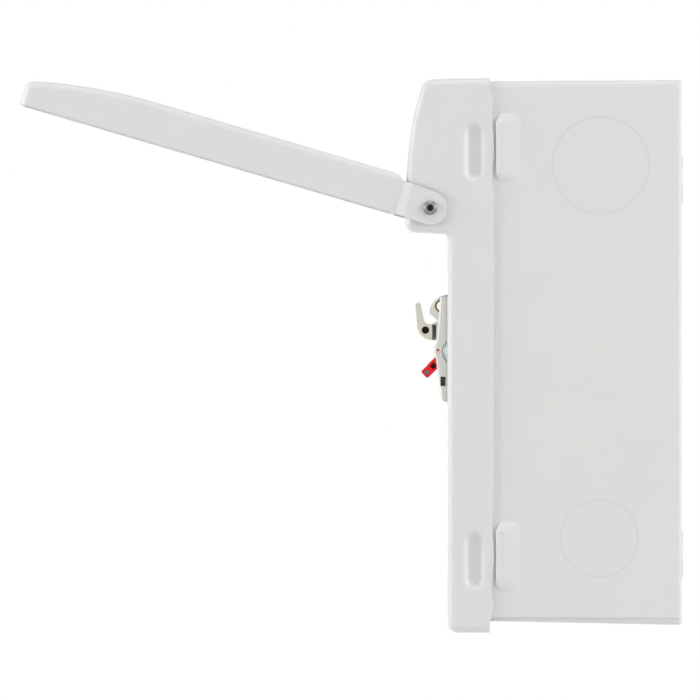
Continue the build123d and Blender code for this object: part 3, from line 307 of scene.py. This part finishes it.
@dataclass(frozen=True)
class Finish:
    """A finish of one kind of surface; each kind writes its own nodes. Lengths are in metres."""

    name: str
    colour: Colour
    roughness: float
    edge: float = 0.0003

    def recipe(self, bench: NodeBench) -> None:
        """Writes the finish's nodes.

        Args:
            bench: Node bench of the material.
        """
        raise NotImplementedError

    def material(self) -> bpy.types.Material:
        """The material, made once.

        Returns:
            The Blender material.
        """
        found = bpy.data.materials.get(self.name)
        if found:
            return found
        made = bpy.data.materials.new(self.name)
        made.use_nodes = True
        self.recipe(NodeBench(made.node_tree))
        return made


@dataclass(frozen=True)
class PowderCoat(Finish):
    """Powder paint on sheet steel, with a fine orange peel."""

    peel_scale: float = 620.0
    peel_height: float = 0.00012
    peel_share: float = 0.8
    relief: float = 0.35
    grain_scale: float = 2600.0
    grain_rough: float = 0.1
    mottle_scale: float = 26.0
    mottle: float = 0.02
    gloss: float = 0.45
    # Share by which painted shade lines darken the coat; none on the plain coat.
    painted_line_shade: float = 0.0

    def unshaded_share(self, bench: NodeBench) -> Wire | float:
        """How free of painted shade lines the paint is, from 0 in a line to 1.

        Args:
            bench: Node bench of the material.

        Returns:
            1 for a coat without lines.
        """
        return 1.0

    def recipe(self, bench: NodeBench) -> None:
        """Writes the paint's nodes.

        Args:
            bench: Node bench of the material.
        """
        place = bench.place()
        mottle = bench.noise(place, self.mottle_scale, bench.RICH_DETAIL)
        peel = bench.noise(place, self.peel_scale)
        grain = bench.noise(place, self.grain_scale)
        mottle_spread = 2 * self.mottle
        # Painted shade: the lines darken the colour below the mottle's range.
        spread = mottle_spread + self.painted_line_shade
        mottle_and_painted_shade = mottle * (mottle_spread / spread) + self.unshaded_share(bench) * (self.painted_line_shade / spread)
        darkest = shade(self.colour, 1 - self.mottle - self.painted_line_shade)
        lightest = shade(self.colour, 1 + self.mottle)
        height = peel * self.peel_share + grain * (1 - self.peel_share)
        bench.surface({
            "Base Color": bench.blend(mottle_and_painted_shade, darkest, lightest),
            "Roughness": bench.uneven(self.roughness, grain, self.grain_rough),
            "Normal": bench.bump(height, self.peel_height, self.relief, self.edge),
            "Specular IOR Level": self.gloss,
        })


class Across(Enum):
    """Axes that a line on the box is measured across."""

    SIDES = (0.0, 1.0, 1.0)
    ENDS = (1.0, 1.0, 0.0)
    LEVELS = (0.0, 0.0, 1.0)


@dataclass(frozen=True)
class PaintedShadeLine:
    """Painted shade along a scored ring or, with no radius, along a straight fold in a sheet; sizes are in
    millimetres.
    """

    across: Across
    centre: Point
    radius: float = 0.0
    weight: float = 0.2
    half_width: float = 0.6

    def mask(self, bench: NodeBench) -> Wire:
        """Where the painted shade line shows.

        Args:
            bench: Node bench of the material.

        Returns:
            The line's weight on it, falling to 0 beside it.
        """
        away = bench.away(bench.place(self.across.value), Vector(self.centre) * MM)
        offset = (away - self.radius * MM) * (1 / (self.half_width * MM))
        return (1 - offset * offset).at_least(0.0) * self.weight


# Painted shade lines: the scored rings of the knock-outs and the box's upper and lower folds.
UPPER_KNOCKOUT = PaintedShadeLine(Across.SIDES, (0.0, -34.7, 84.7), 20.25)
LOWER_KNOCKOUT = PaintedShadeLine(Across.SIDES, (0.0, -35.2, -72.1), 16.25)
LEFT_END_KNOCKOUT = PaintedShadeLine(Across.ENDS, (-25.0, -40.0, 0.0), 12.75)
RIGHT_END_KNOCKOUT = PaintedShadeLine(Across.ENDS, (25.0, -40.0, 0.0), 12.75)
UPPER_FOLD = PaintedShadeLine(Across.LEVELS, (0.0, 0.0, 118.6), weight=0.5)
LOWER_FOLD = PaintedShadeLine(Across.LEVELS, (0.0, 0.0, -105.7), weight=1.0)


@dataclass(frozen=True)
class CoatWithPaintedLines(PowderCoat):
    """Powder paint on a folded box, with painted shade in the scored rings of its knock-outs and along its
    folds.
    """

    painted_line_shade: float = 0.14
    lines: tuple[PaintedShadeLine, ...] = (
        UPPER_KNOCKOUT, LOWER_KNOCKOUT, LEFT_END_KNOCKOUT, RIGHT_END_KNOCKOUT, UPPER_FOLD, LOWER_FOLD,
    )

    def unshaded_share(self, bench: NodeBench) -> Wire:
        """How free of painted shade lines the paint is, from 0 in a line to 1.

        Args:
            bench: Node bench of the material.

        Returns:
            The share as a wire.
        """
        unshaded_share = 1.0
        for line in self.lines:
            unshaded_share = unshaded_share - line.mask(bench)
        return unshaded_share


@dataclass(frozen=True)
class Metal(Finish):
    """Plated, turned or rolled metal, drawn out along one axis."""

    stretch: Point = (1.0, 8.0, 8.0)
    grain_scale: float = 900.0
    grain_rough: float = 0.22
    grain_height: float = 0.00002
    relief: float = 0.3
    stain_scale: float = 60.0
    stain: float = 0.12

    def recipe(self, bench: NodeBench) -> None:
        """Writes the metal's nodes.

        Args:
            bench: Node bench of the material.
        """
        lines = bench.noise(bench.place(self.stretch), self.grain_scale, bench.RICH_DETAIL)
        stain = bench.noise(bench.place(), self.stain_scale, bench.RICH_DETAIL)
        darkest = shade(self.colour, 1 - self.stain)
        lightest = shade(self.colour, 1 + self.stain)
        bench.surface({
            "Base Color": bench.blend(stain, darkest, lightest),
            "Metallic": 1.0,
            "Roughness": bench.uneven(self.roughness, lines, self.grain_rough),
            "Normal": bench.bump(lines, self.grain_height, self.relief, self.edge),
        })


@dataclass(frozen=True)
class Moulding(Finish):
    """Moulded plastic or ceramic with the grain of its mould, and painted shade that darkens its colour in
    narrow pockets.
    """

    grain_scale: float = 1500.0
    grain_rough: float = 0.16
    grain_height: float = 0.00008
    relief: float = 0.3
    flow_scale: float = 90.0
    mottle: float = 0.03
    gloss: float = 0.5
    # Reach and depth of the painted shade in pockets.
    painted_shade_reach: float = 0.003
    painted_pocket_shade: float = 0.1

    def recipe(self, bench: NodeBench) -> None:
        """Writes the plastic's nodes.

        Args:
            bench: Node bench of the material.
        """
        place = bench.place()
        grain = bench.noise(place, self.grain_scale)
        flow = bench.noise(place, self.flow_scale, bench.RICH_DETAIL)
        # Painted shade: ambient occlusion darkens the base colour in pockets, on top of the mould's mottle.
        mottle_and_painted_shade = bench.openness(self.painted_shade_reach) * (1 - self.mottle + flow * (2 * self.mottle))
        bench.surface({
            "Base Color": bench.blend(mottle_and_painted_shade, shade(self.colour, self.painted_pocket_shade), self.colour),
            "Roughness": bench.uneven(self.roughness, grain, self.grain_rough),
            "Specular IOR Level": self.gloss,
            "Normal": bench.bump(grain, self.grain_height, self.relief, self.edge),
        })


PALE_GREY = (0.70, 0.70, 0.685)
CASE_PAINT = PowderCoat("pale_powder_coat", PALE_GREY, roughness=0.42, edge=0.0006)
# The box's coat carries painted shade along its scored rings and folds.
BOX_PAINT = CoatWithPaintedLines("powder_coat_painted_shade_lines", PALE_GREY, roughness=0.42, edge=0.0001)
ZINC = Metal("zinc_plate", (0.66, 0.69, 0.72), roughness=0.26)
STEEL = Metal("dark_steel", (0.28, 0.28, 0.28), roughness=0.4, edge=0.0002)
PIN_STEEL = Metal("dull_pin_steel", (0.20, 0.19, 0.19), roughness=0.4, edge=0.0002)
# Painted shade: a near-black that stands in for the shade inside screw sockets and cross recesses.
PAINTED_SOCKET_SHADE = Metal("painted_shade_black", (0.03, 0.03, 0.03), roughness=0.5, edge=0.0001)
BRASS = Metal("brass_turned", (0.70, 0.47, 0.16), roughness=0.28)
AGED_BRASS = Metal("aged_brass", (0.30, 0.17, 0.04), roughness=0.34)
COPPER = Metal("copper_strip", (0.74, 0.39, 0.25), roughness=0.32)
DEVICE_GREY = Moulding("light_grey_moulding", (0.74, 0.745, 0.70), roughness=0.55, edge=0.0001)
CARRIER_BEIGE = Moulding("beige_moulding", (0.72, 0.70, 0.61), roughness=0.55, edge=0.0001)
TOGGLE_RED = Moulding("red_moulding", (0.86, 0.014, 0.018), roughness=0.42, edge=0.0002, gloss=0.3)
FLAG_RED = Moulding("faded_red_moulding", (0.50, 0.08, 0.06), roughness=0.5, edge=0.0001)
BLACK = Moulding("black_moulding", (0.006, 0.005, 0.006), roughness=0.5, edge=0.0002, gloss=0.12)
FUSE_CERAMIC = Moulding("white_ceramic", (0.85, 0.84, 0.80), roughness=0.6)

FINISH_OF_SLOT: dict[str, Finish] = {
    "case_paint": CASE_PAINT,
    "zinc_steel": ZINC,
    "brass": BRASS,
    "copper": COPPER,
    "device_grey": DEVICE_GREY,
    "carrier_beige": CARRIER_BEIGE,
    "toggle_red": TOGGLE_RED,
    "black_plastic": BLACK,
    "fuse_ceramic": FUSE_CERAMIC,
}
FINISH_OF_NODE: dict[str, Finish] = {"back_box": BOX_PAINT, "indicator_pins": FLAG_RED}


def dress_frame() -> None:
    """Gives every CAD node its own finish, or the one of its material slot."""
    for entry in frame["record"]["subparts"]:
        node = frame["nodes"][entry["node"]]
        finish = FINISH_OF_NODE.get(entry["node"], FINISH_OF_SLOT[entry["material_slot"]])
        node.data.materials.clear()
        node.data.materials.append(finish.material())
        log.info("%s: %s", entry["node"], finish.name)


class Axis(Enum):
    """Direction that a turned piece points in, out of the surface it sits on."""

    FRONT = (0.0, -1.0, 0.0)
    RIGHT = (1.0, 0.0, 0.0)
    LEFT = (-1.0, 0.0, 0.0)

    def vector(self) -> Vector:
        """The direction as a vector."""
        return Vector(self.value)


Seat = tuple[Vector, Axis]


class Drive(Enum):
    """Recess in a turned piece's crown."""

    PLAIN = "plain"
    CROSS = "cross"
    HEX = "hex"


class Corner(NamedTuple):
    """Corner of a turned piece's half profile, in millimetres."""

    radius: float
    height: float
    fillet: float = 0.0


SPIN_STEPS = 48
FILLET_SEGMENTS = 5
EVEN_PROFILE = 0.5
MERGE_DISTANCE = 0.0001
RING_TOLERANCE = 0.001
HEX_SIDES = 6
CROSS_CELLS = 3
CROSS_REACH = 1.2
# Material index of the painted shade inside a recess.
PAINTED_SHADE_INDEX = 1
SHARP_ANGLE = math.radians(35)


@dataclass(frozen=True)
class Turning:
    """Half profile of a turned piece, and the recess in its crown; sizes are in millimetres."""

    corners: tuple[Corner, ...]
    drive: Drive = Drive.PLAIN
    drive_radius: float = 0.0
    drive_depth: float = 0.0

    def shape(self) -> bmesh.types.BMesh:
        """Spins the profile, rounds its corners and sinks the recess.

        Returns:
            The piece with its axis along +Z, in millimetres.
        """
        made = bmesh.new()
        points = [made.verts.new((corner.radius, 0, corner.height)) for corner in self.corners]
        lines = [made.edges.new(pair) for pair in zip(points, points[1:])]
        bmesh.ops.spin(
            made, geom=points + lines, cent=(0, 0, 0), axis=(0, 0, 1), angle=math.tau, steps=SPIN_STEPS,
            use_merge=True,
        )
        bmesh.ops.remove_doubles(made, verts=made.verts, dist=MERGE_DISTANCE)
        for corner in self.corners:
            if corner.fillet:
                bmesh.ops.bevel(
                    made, geom=self.ring(made, corner), offset=corner.fillet, segments=FILLET_SEGMENTS,
                    profile=EVEN_PROFILE, affect="EDGES", material=-1,
                )
        if self.drive is not Drive.PLAIN:
            self.sink(made)
        bmesh.ops.recalc_face_normals(made, faces=made.faces)
        return made

    def ring(self, made: bmesh.types.BMesh, corner: Corner) -> list[bmesh.types.BMEdge]:
        """Edges that a corner of the profile was spun into.

        Args:
            made: Spun piece.
            corner: Corner of the profile.

        Returns:
            The ring of edges.
        """

        def on_ring(vert: bmesh.types.BMVert) -> bool:
            """Whether a vertex lies on the ring."""
            offsets = (vert.co.xy.length - corner.radius, vert.co.z - corner.height)
            return all(abs(offset) < RING_TOLERANCE for offset in offsets)

        return [edge for edge in made.edges if all(on_ring(vert) for vert in edge.verts)]

    def recess_floor(self, made: bmesh.types.BMesh) -> list[bmesh.types.BMVert]:
        """Adds the recess's flat floor at height 0.

        Args:
            made: Spun piece.

        Returns:
            The floor's vertices.
        """
        if self.drive is Drive.HEX:
            return bmesh.ops.create_circle(
                made, cap_ends=True, segments=HEX_SIDES, radius=self.drive_radius
            )["verts"]
        cells = bmesh.ops.create_grid(
            made, x_segments=CROSS_CELLS, y_segments=CROSS_CELLS, size=self.drive_radius
        )["verts"]
        outer = [vert for vert in cells if vert.co.xy.length > self.drive_radius * CROSS_REACH]
        floor = [vert for vert in cells if vert not in outer]
        bmesh.ops.delete(made, geom=outer, context="VERTS")
        return floor

    def sink(self, made: bmesh.types.BMesh) -> None:
        """Sinks the recess into the crown, whose rim is the profile's first corner.

        Args:
            made: Spun piece, open at its crown.
        """
        crown = self.corners[0]
        rim = self.ring(made, crown)
        floor = self.recess_floor(made)
        bmesh.ops.translate(made, verts=floor, vec=(0, 0, crown.height - self.drive_depth))
        outline = {edge for vert in floor for edge in vert.link_edges if edge.is_boundary}
        risen = bmesh.ops.extrude_edge_only(made, edges=list(outline))["geom"]
        lifted = [item for item in risen if isinstance(item, bmesh.types.BMVert)]
        bmesh.ops.translate(made, verts=lifted, vec=(0, 0, self.drive_depth))
        # The recess's floor and walls take the second material, which paints the shade in the socket.
        for face in {face for vert in floor for face in vert.link_faces}:
            face.material_index = PAINTED_SHADE_INDEX
        upper = [
            edge for edge in made.edges if edge.is_boundary and all(vert in lifted for vert in edge.verts)
        ]
        bmesh.ops.bridge_loops(made, edges=rim + upper)


@dataclass
class TurnedSet:
    """Turned pieces that stand for one CAD node; each kind says where its pieces sit."""

    node: str
    body: str
    slot: str
    finish: Finish
    # Finish of the recess: painted shade, not the metal's own colour.
    recess: Finish = PAINTED_SOCKET_SHADE

    def turning(self) -> Turning:
        """Profile of one piece."""
        raise NotImplementedError

    def seats(self) -> list[Seat]:
        """Seat and direction of each piece."""
        raise NotImplementedError

    def half_height(self) -> float:
        """Half of the CAD node's height, in millimetres."""
        low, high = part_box(self.node)
        return (high.z - low.z) / MM / 2

    def span(self) -> float:
        """The CAD node's extent along X, in millimetres."""
        low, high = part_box(self.node)
        return (high.x - low.x) / MM

    def on_axis(self, x: float) -> Vector:
        """Point on the line along X through the middle of the CAD node.

        Args:
            x: The point's place along X, in metres.

        Returns:
            The point.
        """
        low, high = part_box(self.node)
        middle = (low + high) / 2
        return Vector((x, middle.y, middle.z))

    def build(self) -> None:
        """Turns the pieces, sets them on their seats and dresses them."""
        mesh = bpy.data.meshes.new(f"{self.node}_turned")
        whole = bmesh.new()
        for seat, axis in self.seats():
            piece = self.turning().shape()
            turn = axis.vector().to_track_quat("Z", "Y").to_matrix().to_4x4()
            place = Matrix.Translation(seat) @ turn @ Matrix.Scale(MM, 4)
            bmesh.ops.transform(piece, matrix=place, verts=piece.verts)
            piece.to_mesh(mesh)
            piece.free()
            whole.from_mesh(mesh)
        whole.to_mesh(mesh)
        whole.free()
        mesh.materials.append(self.finish.material())
        mesh.materials.append(self.recess.material())
        mesh.shade_smooth()
        mesh.set_sharp_from_angle(angle=SHARP_ANGLE)
        made = bpy.data.objects.new(f"{self.node}_turned", mesh)
        bpy.context.scene.collection.objects.link(made)
        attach(made, self.body)
        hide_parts(self.node)
        log.info("%s: %d faces", made.name, len(mesh.polygons))


@dataclass(kw_only=True)
class HeadedScrews(TurnedSet):
    """Screws with a domed head and a recess; each kind says how large and where they are."""

    head_height: float
    crown_radius: float
    dome: float
    shank_radius: float
    drive: Drive
    drive_radius: float
    drive_depth: float

    def screw(self, head_radius: float, shank_length: float) -> Turning:
        """Profile of one screw, with the head's underside at height 0.

        Args:
            head_radius: Radius of the head, in millimetres.
            shank_length: Length of the shank, in millimetres.

        Returns:
            The profile.
        """
        corners = (
            Corner(self.crown_radius, self.head_height),
            Corner(head_radius, self.head_height, self.dome),
            Corner(head_radius, 0),
            Corner(self.shank_radius, 0),
            Corner(self.shank_radius, -shank_length),
            Corner(0, -shank_length),
        )
        return Turning(corners, self.drive, self.drive_radius, self.drive_depth)


@dataclass
class LidPivots(HeadedScrews):
    """Domed screws with hexagon sockets that the lid's ears turn on."""

    node: str = "lid_pivot_screws"
    body: str = "case"
    slot: str = "zinc_steel"
    finish: Finish = STEEL
    head_height: float = 1.6
    crown_radius: float = 1.75
    dome: float = 1.1
    shank_radius: float = 2.0
    shank_length: float = 5.86
    drive: Drive = Drive.HEX
    drive_radius: float = 1.5
    drive_depth: float = 1.2

    def turning(self) -> Turning:
        """Profile of one pivot screw."""
        return self.screw(self.half_height(), self.shank_length)

    def seats(self) -> list[Seat]:
        """One seat on each ear.

        Returns:
            The right seat and the left seat.
        """
        low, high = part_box(self.node)
        rise = self.head_height * MM
        return [(self.on_axis(high.x - rise), Axis.RIGHT), (self.on_axis(low.x + rise), Axis.LEFT)]


@dataclass
class CoverScrews(HeadedScrews):
    """Pan-head screws with cross recesses that hold the cover on."""

    node: str = "cover_screws"
    body: str = "case"
    slot: str = "zinc_steel"
    finish: Finish = ZINC
    head_radius: float = 3.8
    head_height: float = 1.5
    crown_radius: float = 2.3
    dome: float = 1.2
    shank_radius: float = 2.0
    drive: Drive = Drive.CROSS
    drive_radius: float = 1.7
    drive_depth: float = 1.0

    def turning(self) -> Turning:
        """Profile of one cover screw."""
        low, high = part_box(self.node)
        return self.screw(self.head_radius, (high.y - low.y) / MM - self.head_height)

    def seats(self) -> list[Seat]:
        """Four seats in the cover's recesses.

        Returns:
            The seats, from the left and from below.
        """
        low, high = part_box(self.node)
        margin = self.head_radius * MM
        front = low.y + self.head_height * MM
        return [
            (Vector((x, front, z)), Axis.FRONT)
            for x in (low.x + margin, high.x - margin) for z in (low.z + margin, high.z - margin)
        ]


@dataclass
class Axle(TurnedSet):
    """Single piece that lies along X with rounded rims."""

    rim: float = 0.2

    def seats(self) -> list[Seat]:
        """The piece's left end."""
        low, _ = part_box(self.node)
        return [(self.on_axis(low.x), Axis.RIGHT)]


@dataclass
class CrossPin(Axle):
    """Pin with dished ends."""

    dish: float = 0.15
    dish_share: float = 0.6

    def turning(self) -> Turning:
        """Profile of the pin.

        Returns:
            The profile, from its right end to its left.
        """
        radius, length = self.half_height(), self.span()
        dished = radius * self.dish_share
        return Turning((
            Corner(0, length - self.dish),
            Corner(dished, length - self.dish),
            Corner(dished + self.dish, length),
            Corner(radius, length, self.rim),
            Corner(radius, 0, self.rim),
            Corner(dished + self.dish, 0),
            Corner(dished, self.dish),
            Corner(0, self.dish),
        ))


@dataclass
class ToggleSpindle(Axle):
    """Spindle of the switch with a grooved hub at each end."""

    node: str = "toggle_spindle"
    body: str = "toggle"
    slot: str = "zinc_steel"
    finish: Finish = ZINC
    hub_thickness: float = 0.6
    bar_radius: float = 2.5
    groove_inner: float = 4.3
    groove_outer: float = 4.8
    groove_depth: float = 0.35

    def turning(self) -> Turning:
        """Profile of the spindle.

        Returns:
            The profile, from its right end to its left.
        """
        radius, length = self.half_height(), self.span()
        far_hub = length - self.hub_thickness
        far_floor = length - self.groove_depth
        return Turning((
            Corner(0, length),
            Corner(self.groove_inner, length),
            Corner(self.groove_inner, far_floor),
            Corner(self.groove_outer, far_floor),
            Corner(self.groove_outer, length),
            Corner(radius, length, self.rim),
            Corner(radius, far_hub),
            Corner(self.bar_radius, far_hub),
            Corner(self.bar_radius, self.hub_thickness),
            Corner(radius, self.hub_thickness),
            Corner(radius, 0, self.rim),
            Corner(self.groove_outer, 0),
            Corner(self.groove_outer, self.groove_depth),
            Corner(self.groove_inner, self.groove_depth),
            Corner(self.groove_inner, 0),
            Corner(0, 0),
        ))


@dataclass
class SealEyes(TurnedSet):
    """Rolled brass eyes in the two lobes of the fuse base."""

    node: str = "seal_ferrules"
    body: str = "case"
    slot: str = "brass"
    finish: Finish = AGED_BRASS
    wall: float = 0.85
    length: float = 1.6
    roll: float = 0.38

    def turning(self) -> Turning:
        """Profile of one eye, closed round its bore.

        Returns:
            The profile, from its bore outwards and back.
        """
        radius = self.half_height()
        bore = radius - self.wall
        return Turning((
            Corner(bore, 0, self.roll),
            Corner(bore, self.length, self.roll),
            Corner(radius, self.length, self.roll),
            Corner(radius, 0, self.roll),
            Corner(bore, 0),
        ))

    def seats(self) -> list[Seat]:
        """One seat in each lobe.

        Returns:
            The left seat and the right seat.
        """
        low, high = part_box(self.node)
        return [
            (self.on_axis(low.x), Axis.RIGHT),
            (self.on_axis(high.x - self.length * MM), Axis.RIGHT),
        ]


@dataclass(frozen=True)
class Lamp:
    """Square soft lamp; its place and size are in metres and its power in watts."""

    name: str
    place: Point
    power: float
    size: float = 1.0

    def build(self, target: Vector) -> None:
        """Sets the lamp up and aims it.

        Args:
            target: Point that it shines at.
        """
        data = bpy.data.lights.new(self.name, "AREA")
        data.shape = "SQUARE"
        data.size = self.size
        data.energy = self.power
        made = bpy.data.objects.new(self.name, data)
        made.location = self.place
        made.rotation_euler = (target - Vector(self.place)).to_track_quat("-Z", "Y").to_euler()
        bpy.context.scene.collection.objects.link(made)


@dataclass
class Studio:
    """Camera, floor, soft lamps and white surroundings; the sensor is in millimetres, the rest in metres."""

    centre: Vector = field(default_factory=lambda: Vector((0.0, -0.13999, 0.0071)))
    picture_width: float = 0.294
    near_side: float = 0.065
    distance: float = 13.5
    sight: float = 100.0
    sensor: float = 36.0
    ambient: float = 0.272
    sheen: float = 0.7
    floor_level: float = -0.2
    floor_size: float = 3.4
    floor_colour: Colour = (0.9, 0.9, 0.9)
    floor_glow: float = 0.1
    floor_veil: float = 0.3
    floor_fade: float = 0.6
    lamps: tuple[Lamp, ...] = (
        Lamp("top_lamp", (0.41, -0.14, 1.55), 11.0),
        Lamp("front_lamp", (0.41, -1.69, 0.3), 18.6),
        Lamp("rear_lamp", (0.66, 1.34, 0.45), 16.5),
        Lamp("left_lamp", (-1.6, -0.14, 0.3), 8.0),
    )

    def camera(self) -> None:
        """Side view of the open unit, square to its side wall, from far away."""
        data = bpy.data.cameras.new("camera")
        data.sensor_width = self.sensor
        data.lens = self.sensor * self.distance / self.picture_width
        data.clip_end = self.sight
        made = bpy.data.objects.new("camera", data)
        made.location = self.centre + Vector((self.near_side + self.distance, 0, 0))
        made.rotation_euler = (QUARTER_TURN, 0, QUARTER_TURN)
        bpy.context.scene.collection.objects.link(made)
        bpy.context.scene.camera = made

    def world(self) -> None:
        """White where the camera looks, and soft light with a bright side for reflections elsewhere."""
        made = bpy.data.worlds.new("surroundings")
        made.use_nodes = True
        bench = NodeBench(made.node_tree)
        path = bench.node("ShaderNodeLightPath")
        seen = Wire(bench, path.outputs["Is Camera Ray"])
        mirrored = Wire(bench, path.outputs["Is Glossy Ray"])
        direction = bench.node("ShaderNodeTexCoord").outputs["Generated"]
        parts = bench.node("ShaderNodeSeparateXYZ", None, {"Vector": direction})
        toward = Wire(bench, parts.outputs["X"]).at_least(0.0)
        strength = self.ambient + mirrored * toward * self.sheen
        soft = bench.node("ShaderNodeBackground", None, {"Color": WHITE, "Strength": strength})
        white = bench.node("ShaderNodeBackground", None, {"Color": WHITE, "Strength": 1.0})
        mixed = bench.mix(seen, soft, white)
        bench.node("ShaderNodeOutputWorld", None, {"Surface": mixed.outputs[0]})
        bpy.context.scene.world = made

    def floor_paper(self) -> bpy.types.Material:
        """Pale paper that keeps shadows, fades to white further out and doesn't show from below.

        Returns:
            The Blender material.
        """
        made = bpy.data.materials.new("floor_paper")
        made.use_nodes = True
        bench = NodeBench(made.node_tree)
        path = bench.node("ShaderNodeLightPath")
        seen = Wire(bench, path.outputs["Is Camera Ray"]) + Wire(bench, path.outputs["Is Glossy Ray"])
        reach = bench.away(bench.place(), Vector())
        below = Wire(bench, bench.node("ShaderNodeNewGeometry").outputs["Backfacing"])
        whiteness = self.floor_glow + seen * (reach * self.floor_fade + self.floor_veil)
        paper = bench.node("ShaderNodeBsdfDiffuse", None, {"Color": (*self.floor_colour, 1)})
        white = bench.node("ShaderNodeEmission", None, {"Color": WHITE, "Strength": 1.0})
        clear = bench.node("ShaderNodeBsdfTransparent")
        mixed = bench.mix(below, bench.mix(whiteness, paper, white), clear)
        bench.node("ShaderNodeOutputMaterial", None, {"Surface": mixed.outputs[0]})
        return made

    def floor(self) -> None:
        """Square floor below the picture."""
        mesh = bpy.data.meshes.new("floor")
        shape = bmesh.new()
        bmesh.ops.create_grid(shape, x_segments=1, y_segments=1, size=self.floor_size / 2)
        bmesh.ops.translate(shape, verts=shape.verts, vec=(0, self.centre.y, self.floor_level))
        shape.to_mesh(mesh)
        shape.free()
        made = bpy.data.objects.new("floor", mesh)
        bpy.context.scene.collection.objects.link(made)
        mesh.materials.append(self.floor_paper())

    def build(self) -> None:
        """Sets up the whole studio."""
        bpy.context.scene.view_settings.view_transform = "Standard"
        self.camera()
        self.world()
        self.floor()
        for lamp in self.lamps:
            lamp.build(self.centre)
            log.info("%s: %.1f W", lamp.name, lamp.power)


def main() -> None:
    """Builds the studio and dresses the unit."""
    logging.basicConfig(level=logging.INFO, format="%(name)s: %(message)s")
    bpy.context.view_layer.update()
    Studio().build()
    dress_frame()
    hardware: list[TurnedSet] = [
        LidPivots(),
        CoverScrews(),
        ToggleSpindle(),
        CrossPin("toggle_tie_pin", "toggle", "zinc_steel", PIN_STEEL),
        CrossPin("handle_pin", "case", "black_plastic", BLACK),
        SealEyes(),
    ]
    for pieces in hardware:
        pieces.build()


if __name__ == "__main__":
    main()
